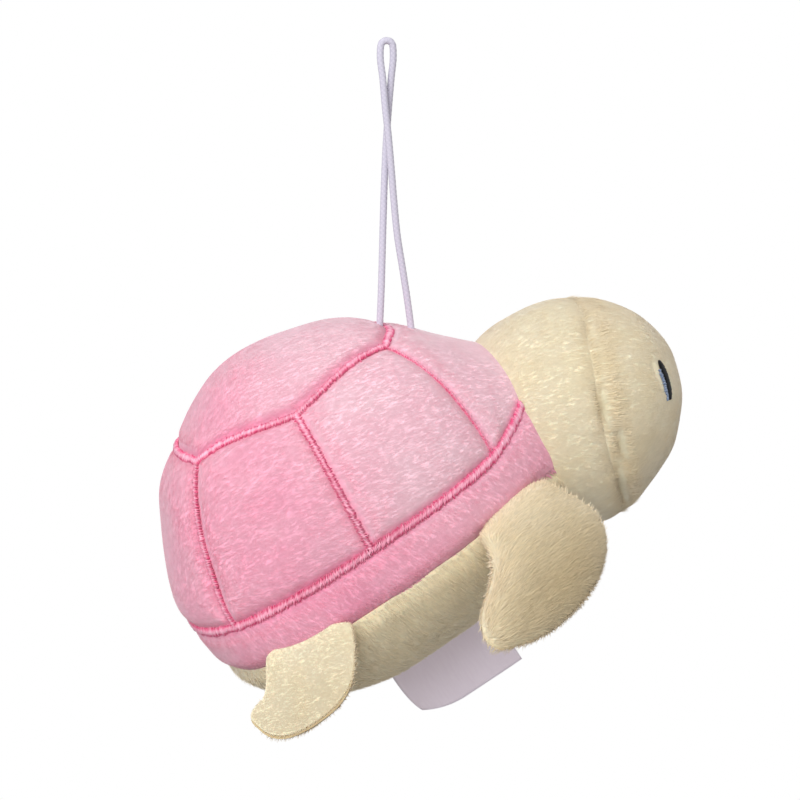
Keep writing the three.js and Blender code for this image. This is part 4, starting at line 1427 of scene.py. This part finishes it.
def clear_of_body(points, clearance):
    """Pushes points that are in the body or the head out to their surfaces."""
    centre = np.array([0, 0, WIDEST_LEVEL])
    away = points - centre
    x = np.abs(away[:, 0]) / (BODY_LENGTH / 2 + clearance)
    y = np.abs(away[:, 1]) / (BODY_WIDTH / 2 + clearance)
    above = away[:, 2] > 0
    power = np.where(above, DOME_POWER, BELLY_POWER)
    z = np.abs(away[:, 2]) / (np.where(above, DOME_RISE, BELLY_DROP) + clearance)
    share = ((x ** PLAN_POWER + y ** PLAN_POWER) ** (power / PLAN_POWER) + z ** power) ** (1 / power)
    points = centre + away / np.minimum(share, 1)[:, None]
    inside = outside_head(points) < clearance
    points[inside] = on_head(points[inside] - head_centre, np.full(inside.sum(), -clearance))
    return points


def turned(points, root, axis, degrees):
    """Points turned round the axis through the root."""
    turn = np.array(Matrix.Rotation(math.radians(degrees), 3, Vector(axis)))
    return (points - root) @ turn.T + root


def flipper_rim(outline, centre, span, reach):
    """The cloth's edge in the flipper's plane, which leaves room for the pile round it."""
    rim = smooth_path(np.array(outline) * (span, reach), OUTLINE_POINTS, closed=True)
    spokes = np.linalg.norm(rim - centre, axis=1, keepdims=True)
    return centre + (rim - centre) * (1 - FLIPPER_PILE_DEPTH / spokes)


def lens_form(joint_name, rim, centre, reach, thickness, side, shade, edge, seed):
    """One face of a flipper: side is 1 for the top and -1 for the under face."""
    root, along, out, face = flipper_frame(joint_name)
    deepest = thickness / FRONT_THICKNESS * FLIPPER_SHADE

    def form(across, down):
        share = np.sin(down * np.pi / 2)
        place = across * len(rim)
        lower = np.floor(place).astype(int)
        part = (place - lower)[:, None]
        rims = rim[lower % len(rim)] * (1 - part) + rim[(lower + 1) % len(rim)] * part
        flat = centre + (rims - centre) * share[:, None]
        crown = edge + (1 - edge) * (1 - share ** LENS_SPREAD) ** LENS_CROWN
        height = side * np.maximum((thickness / 2 - PILE_DEPTH) * crown * (share < 1), LEAST_HEIGHT)
        points = root + flat[:, :1] * along + flat[:, 1:] * out + height[:, None] * face
        lump = lumps(points, FLIPPER_LUMP_SIZE, seed) * (1 - share ** 4)
        points += side * FLIPPER_LUMP * lump[:, None] * face
        pressed = turned(clear_of_body(points, BODY_CLEARANCE), root, along, FLIPPER_PRESS)
        cleared = turned(clear_of_body(pressed, BODY_CLEARANCE), root, along, -FLIPPER_PRESS)
        free = np.clip((flat[:, 1:] + HELD_REACH) / FREED_REACH, 0, 1)
        points = points * (1 - free) + cleared * free
        outward = flat[:, 1] / reach
        # Painted shade, most in the middle and towards the tip.
        deep = np.clip(DEEP_EDGE - share ** 2, 0, 1) * np.clip(DEEP_ROOT_RISE * outward, 0, 1)
        deep = deep + DEEP_TIP_RISE * np.clip(outward - DEEP_TIP_START, 0, 1)
        near_root = ROOT_PILE_SHARE + (flat[:, 1] + ROOT_PILE_START) / ROOT_PILE_REACH
        cover = (1 - EDGE_PILE_LOSS * share ** EDGE_PILE_POWER) * np.clip(near_root, 0, 1)
        return points, cover, shade + deepest * deep

    return form


def flipper_nap(joint_name, rim, centre, forward, outward, edge_reach):
    """The pile leans one way, and at the edge it leans out over the edge."""
    root, along, out, _ = flipper_frame(joint_name)
    edge_tree = tree_of(np.column_stack([rim, np.zeros(len(rim))]))

    def nap(points, normals):
        away = points - root
        flat = np.stack([away @ along, away @ out, np.zeros(len(away))], 1)
        spokes = unit(flat[:, :2] - centre)
        against = np.clip(-(spokes @ unit(np.array([forward, outward]))), 0, 1)
        near = hollow(distance_to(edge_tree, flat), edge_reach * (1 - AGAINST_NAP * against))
        near = near[:, None]
        over = spokes[:, :1] * along + spokes[:, 1:] * out
        return (along * forward + out * outward) * (1 - near) + over * near

    return nap


def sew_on(piece, joint_name, sign):
    """The root stays on the seam, and the rest turns with the flipper."""
    root, _, out, _ = flipper_frame(joint_name)
    start, end = in_part(root - BEND_START * out), in_part(root + BEND_END * out)
    side = np.array([1, sign, 1])
    joint = joints[joint_name.replace("right", "left") if sign < 0 else joint_name]
    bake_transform(piece, "root", joint["child"], start=tuple(start * side), end=tuple(end * side))


def add_flipper(kind, layers, outline, middle, span, reach, thickness, grid, way, pile):
    """layers gives each layer's name, which way it faces, its shift ahead and out, how deep its
    colour is, as painted shade, and the share of its swell that is left at the edge. way gives
    the pile's lean ahead and out, and how far in from the edge it leans over."""
    joint_name = f"{kind}_right_flap"
    root, _, out, face_up = flipper_frame(joint_name)
    for index, (layer, facing, shift, shade, edge) in enumerate(layers):
        centre = np.array(middle) * (span, reach)
        rim = flipper_rim(outline, centre, span, reach) + shift
        centre = centre + shift
        form = lens_form(
            joint_name, rim, centre, reach, thickness, facing, shade, edge,
            seed=FLIPPER_LUMP_SEED + index,
        )
        nap = flipper_nap(joint_name, rim, centre, *way)
        behind = root + out * reach / 2 - facing * face_up * BEHIND_SHARE * thickness
        right = plush(
            f"{kind}_right_{layer}_cloth", gridded(*grid, form), behind, cream_pile,
            dict(pile, seed=FLIPPER_PILE_SEED + index, nap=nap),
        )
        left = mirrored(right, f"{kind}_left_{layer}_cloth")
        for piece, side, sign in ((right, "right", 1), (left, "left", -1)):
            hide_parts(f"{kind}_{side}_{layer}")
            sew_on(piece, joint_name, sign)


FRONT_LAYERS = (("top_cover", 1, (0, 0), 0, 0), ("under_cover", -1, (0, 0), 0, 0))
# The rear flippers' under layers, seen along the top layers' edges, are deepened with painted shade.
REAR_LAYERS = (("top_layer", 1, (0, 0), 0, 0.75), ("under_layer", -1, (-0.2, 0.7), 0.8, 0))
FRONT_PILE = dict(count=9000, length=2.4, width=0.36, lift=9, contrast=1, flatness=6)
REAR_PILE = dict(count=6000, length=1.1, width=0.22, contrast=0.1, flatness=24)

add_flipper(
    "front_flipper", FRONT_LAYERS, FRONT_OUTLINE_SHARES, FRONT_MIDDLE_SHARE, FRONT_SPAN,
    FRONT_REACH, FRONT_THICKNESS, grid=(180, 30), way=(1, 0.15, 1.8), pile=FRONT_PILE,
)
add_flipper(
    "rear_flipper", REAR_LAYERS, REAR_OUTLINE_SHARES, REAR_MIDDLE_SHARE, REAR_SPAN,
    REAR_REACH, REAR_THICKNESS, grid=(150, 24), way=(0.9, 0.1, 0.8), pile=REAR_PILE,
)


# The stuffing, inside the covers. A flipper's is an oval ball, whose half sizes are these shares of
# the flipper's span, reach and thickness.
FILL_INSET = 4.4
HEAD_FILL_INSET = 3.8
FLIPPER_FILL_SHARES = np.array([1 / 3.6, 1 / 3.4, 1 / 4])
FILL_GRID = (48, 32)


def bare(down):
    """No pile and no deeper colour."""
    return np.zeros(len(down)), np.zeros(len(down))


def body_fill_form(across, down):
    rise = np.pi / 2 - np.pi * down
    return necked_form(2 * np.pi * across, rise, FILL_INSET), *bare(down)


def head_fill_form(across, down):
    direction = head_direction(2 * np.pi * across, np.pi * down)
    return on_head(direction, np.full(len(down), HEAD_FILL_INSET)), *bare(down)


def flipper_fill_form(side):
    """A front flipper's stuffing, and its middle."""
    root, along, out, face = flipper_frame("front_flipper_right_flap")
    ahead, outward = np.array(FRONT_MIDDLE_SHARE) * (FRONT_SPAN, FRONT_REACH)
    middle = root + along * ahead + out * outward
    halves = FLIPPER_FILL_SHARES * (FRONT_SPAN, FRONT_REACH, FRONT_THICKNESS)

    def form(across, down):
        rise, turn = np.pi / 2 - np.pi * down, 2 * np.pi * across
        ball = np.stack([np.cos(rise) * np.cos(turn), np.cos(rise) * np.sin(turn), np.sin(rise)], 1)
        points = middle + (ball * halves) @ np.stack([along, out, face])
        return points * np.array([1, side, 1]), *bare(down)

    return form, middle * np.array([1, side, 1])


def stuffed(name, form, centre, body, node):
    mesh = gridded(*FILL_GRID, form)
    face_out(mesh, Vector(centre))
    settle(from_bmesh(name, mesh, loose_fibre), body, "fibre_fill", node)


stuffed("body_fibre", body_fill_form, (0, 0, 0), "root", "body_stuffing")
stuffed("head_fibre", head_fill_form, head_centre, "root", "head_stuffing")
for side, sign in (("right", 1), ("left", -1)):
    fill_form, fill_centre = flipper_fill_form(sign)
    body_name = f"front_flipper_{side}"
    stuffed(f"{body_name}_fibre", fill_form, fill_centre, body_name, f"{body_name}_stuffing")


# The cord, its knot and the label. BRAID_DEPTH is a share of the cord's radius.
CORD_SIDES = 16
CORD_RINGS = 700
BRAID_YARNS = 4
BRAID_PITCH = 1.1
BRAID_DEPTH = 0.05


def braided_tube(route, length):
    """A braided tube along the route. Its yarns cross at a slant and sink in between."""
    along = unit(np.gradient(route, axis=0))
    side = unit(np.cross(along, np.array([0, 1.0, 0])))
    other = np.cross(side, along)
    crossings = length / (BRAID_PITCH * MILLIMETRE)
    mesh = bmesh.new()
    bmesh.ops.create_grid(mesh, x_segments=CORD_SIDES, y_segments=CORD_RINGS - 1, size=0.5)
    relief = mesh.verts.layers.float.new("pile")
    chance = mesh.verts.layers.float.new("tuft")
    for vertex in mesh.verts:
        turn = 2 * math.pi * (vertex.co.x + 0.5)
        ring = round((vertex.co.y + 0.5) * (CORD_RINGS - 1))
        run = 2 * math.pi * ring / (CORD_RINGS - 1) * crossings
        one = math.sin((BRAID_YARNS * turn + run) / 2)
        other_way = math.sin((BRAID_YARNS * turn - run) / 2)
        height = abs(one * other_way)
        radius = CORD_DIAMETER / 2 * MILLIMETRE * (1 - BRAID_DEPTH * (1 - height))
        spoke = side[ring] * math.cos(turn) + other[ring] * math.sin(turn)
        vertex.co = Vector(route[ring] + radius * spoke)
        vertex[relief] = height
        vertex[chance] = BASE_TUFT
    bmesh.ops.remove_doubles(mesh, verts=mesh.verts, dist=WELD * MILLIMETRE)
    bmesh.ops.holes_fill(mesh, edges=mesh.edges, sides=CORD_SIDES + 1)
    bmesh.ops.recalc_face_normals(mesh, faces=mesh.faces)
    data = data_of("cord", mesh)
    set_smooth(data, smooth=True)
    return new_object("braided_cord", data, braided_elastic)


def add_cord():
    route = smooth_path(CORD_ROUTE, CORD_RINGS)
    length = float(np.linalg.norm(np.diff(route, axis=0), axis=1).sum())
    cord = braided_tube(route, length)
    settle(cord, "root", "white_elastic", "hanging_cord")
    knot = frame["nodes"]["cord_knot"]
    knot.data.materials.clear()
    knot.data.materials.append(braided_elastic)


add_cord()


# The label's curl starts at these shares of its height and width, and how it bends from there.
CURL_TOP_SHARE = 0.3
CURL_SIDE_SHARE = 0.45
CURL_OUT = 2.2
CURL_UP = 1.7
CURL_AHEAD = 0.4
WAVE_TURN = 5
LABEL_GRID = (44, 28)


def label_form(across, down):
    """A ribbon hung from the belly's middle seam, with one lower corner curled aside."""
    x = (across - 0.5) * LABEL_LENGTH
    drop = LABEL_TUCK - down * (LABEL_DROP + LABEL_TUCK)
    low = np.clip(down - CURL_TOP_SHARE, 0, 1)
    curl = np.clip(CURL_SIDE_SHARE - across, 0, 1) * low
    y = -LABEL_CURL * (curl * CURL_OUT) ** 2 + LABEL_WAVE * np.sin(across * WAVE_TURN) * low
    lift = LABEL_CURL_RISE * (curl * CURL_UP) ** 2
    z = WIDEST_LEVEL - BELLY_DROP + drop
    return np.stack([x + lift * CURL_AHEAD, y, z + lift], 1), *bare(down)


def add_label():
    mesh = gridded(*LABEL_GRID, label_form)
    mesh.normal_update()
    thicken(mesh, LABEL_THICKNESS)
    label = from_bmesh("label_ribbon", mesh, satin_ribbon)
    settle(label, "label", "white_ribbon", "care_label")


add_label()


# The floor, the light and the pale background. Sizes and places in metres.
FLOOR_LEVEL = -0.3
FLOOR_SIZE = 14
WORLD_LIGHT = 0.72
KEY_POWER = 16
KEY_SIZE = 0.9
KEY_PLACE = (-0.66, -1, 0.58)
FLOOR_GREY = 0.4
WHITE = (1, 1, 1, 1)


def add_floor():
    mesh = bmesh.new()
    bmesh.ops.create_grid(mesh, x_segments=1, y_segments=1, size=FLOOR_SIZE)
    bmesh.ops.translate(mesh, verts=mesh.verts, vec=(0, 0, FLOOR_LEVEL))
    data = data_of("floor", mesh)
    finish = Finish("pale floor", roughness=0.9)
    finish.shader.inputs["Base Color"].default_value = (FLOOR_GREY, FLOOR_GREY, FLOOR_GREY, 1)
    glow = finish.add("ShaderNodeEmission")
    ray = finish.add("ShaderNodeLightPath").outputs["Is Camera Ray"]
    both = finish.add("ShaderNodeMixShader", {0: ray, 1: finish.shader.outputs[0], 2: glow.outputs[0]})
    finish.tree.links.new(both.outputs[0], finish.output.inputs["Surface"])
    new_object("floor", data, finish.material)


def add_world():
    """An even light that the camera and glass see as white."""
    world = bpy.data.worlds.new("pale room")
    world.use_nodes = True
    bpy.context.scene.world = world
    tree = world.node_tree
    room = tree.nodes["Background"]
    room.inputs["Color"].default_value = WHITE
    room.inputs["Strength"].default_value = WORLD_LIGHT
    seen = add_node(tree, "ShaderNodeBackground", {"Color": WHITE})
    path = add_node(tree, "ShaderNodeLightPath").outputs
    rays = {0: path["Is Camera Ray"], 1: path["Is Transmission Ray"]}
    either = add_node(tree, "ShaderNodeMath", rays, operation="MAXIMUM").outputs[0]
    lights = {0: either, 1: room.outputs[0], 2: seen.outputs[0]}
    both = add_node(tree, "ShaderNodeMixShader", lights)
    tree.links.new(both.outputs[0], tree.nodes["World Output"].inputs["Surface"])


def add_lamp():
    lamp = bpy.data.lights.new("key", "AREA")
    lamp.energy = KEY_POWER
    lamp.size = KEY_SIZE
    aimed("key", lamp, KEY_PLACE, VIEW_MIDDLE)


add_floor()
add_world()
add_lamp()
bpy.context.scene.view_settings.view_transform = "Standard"
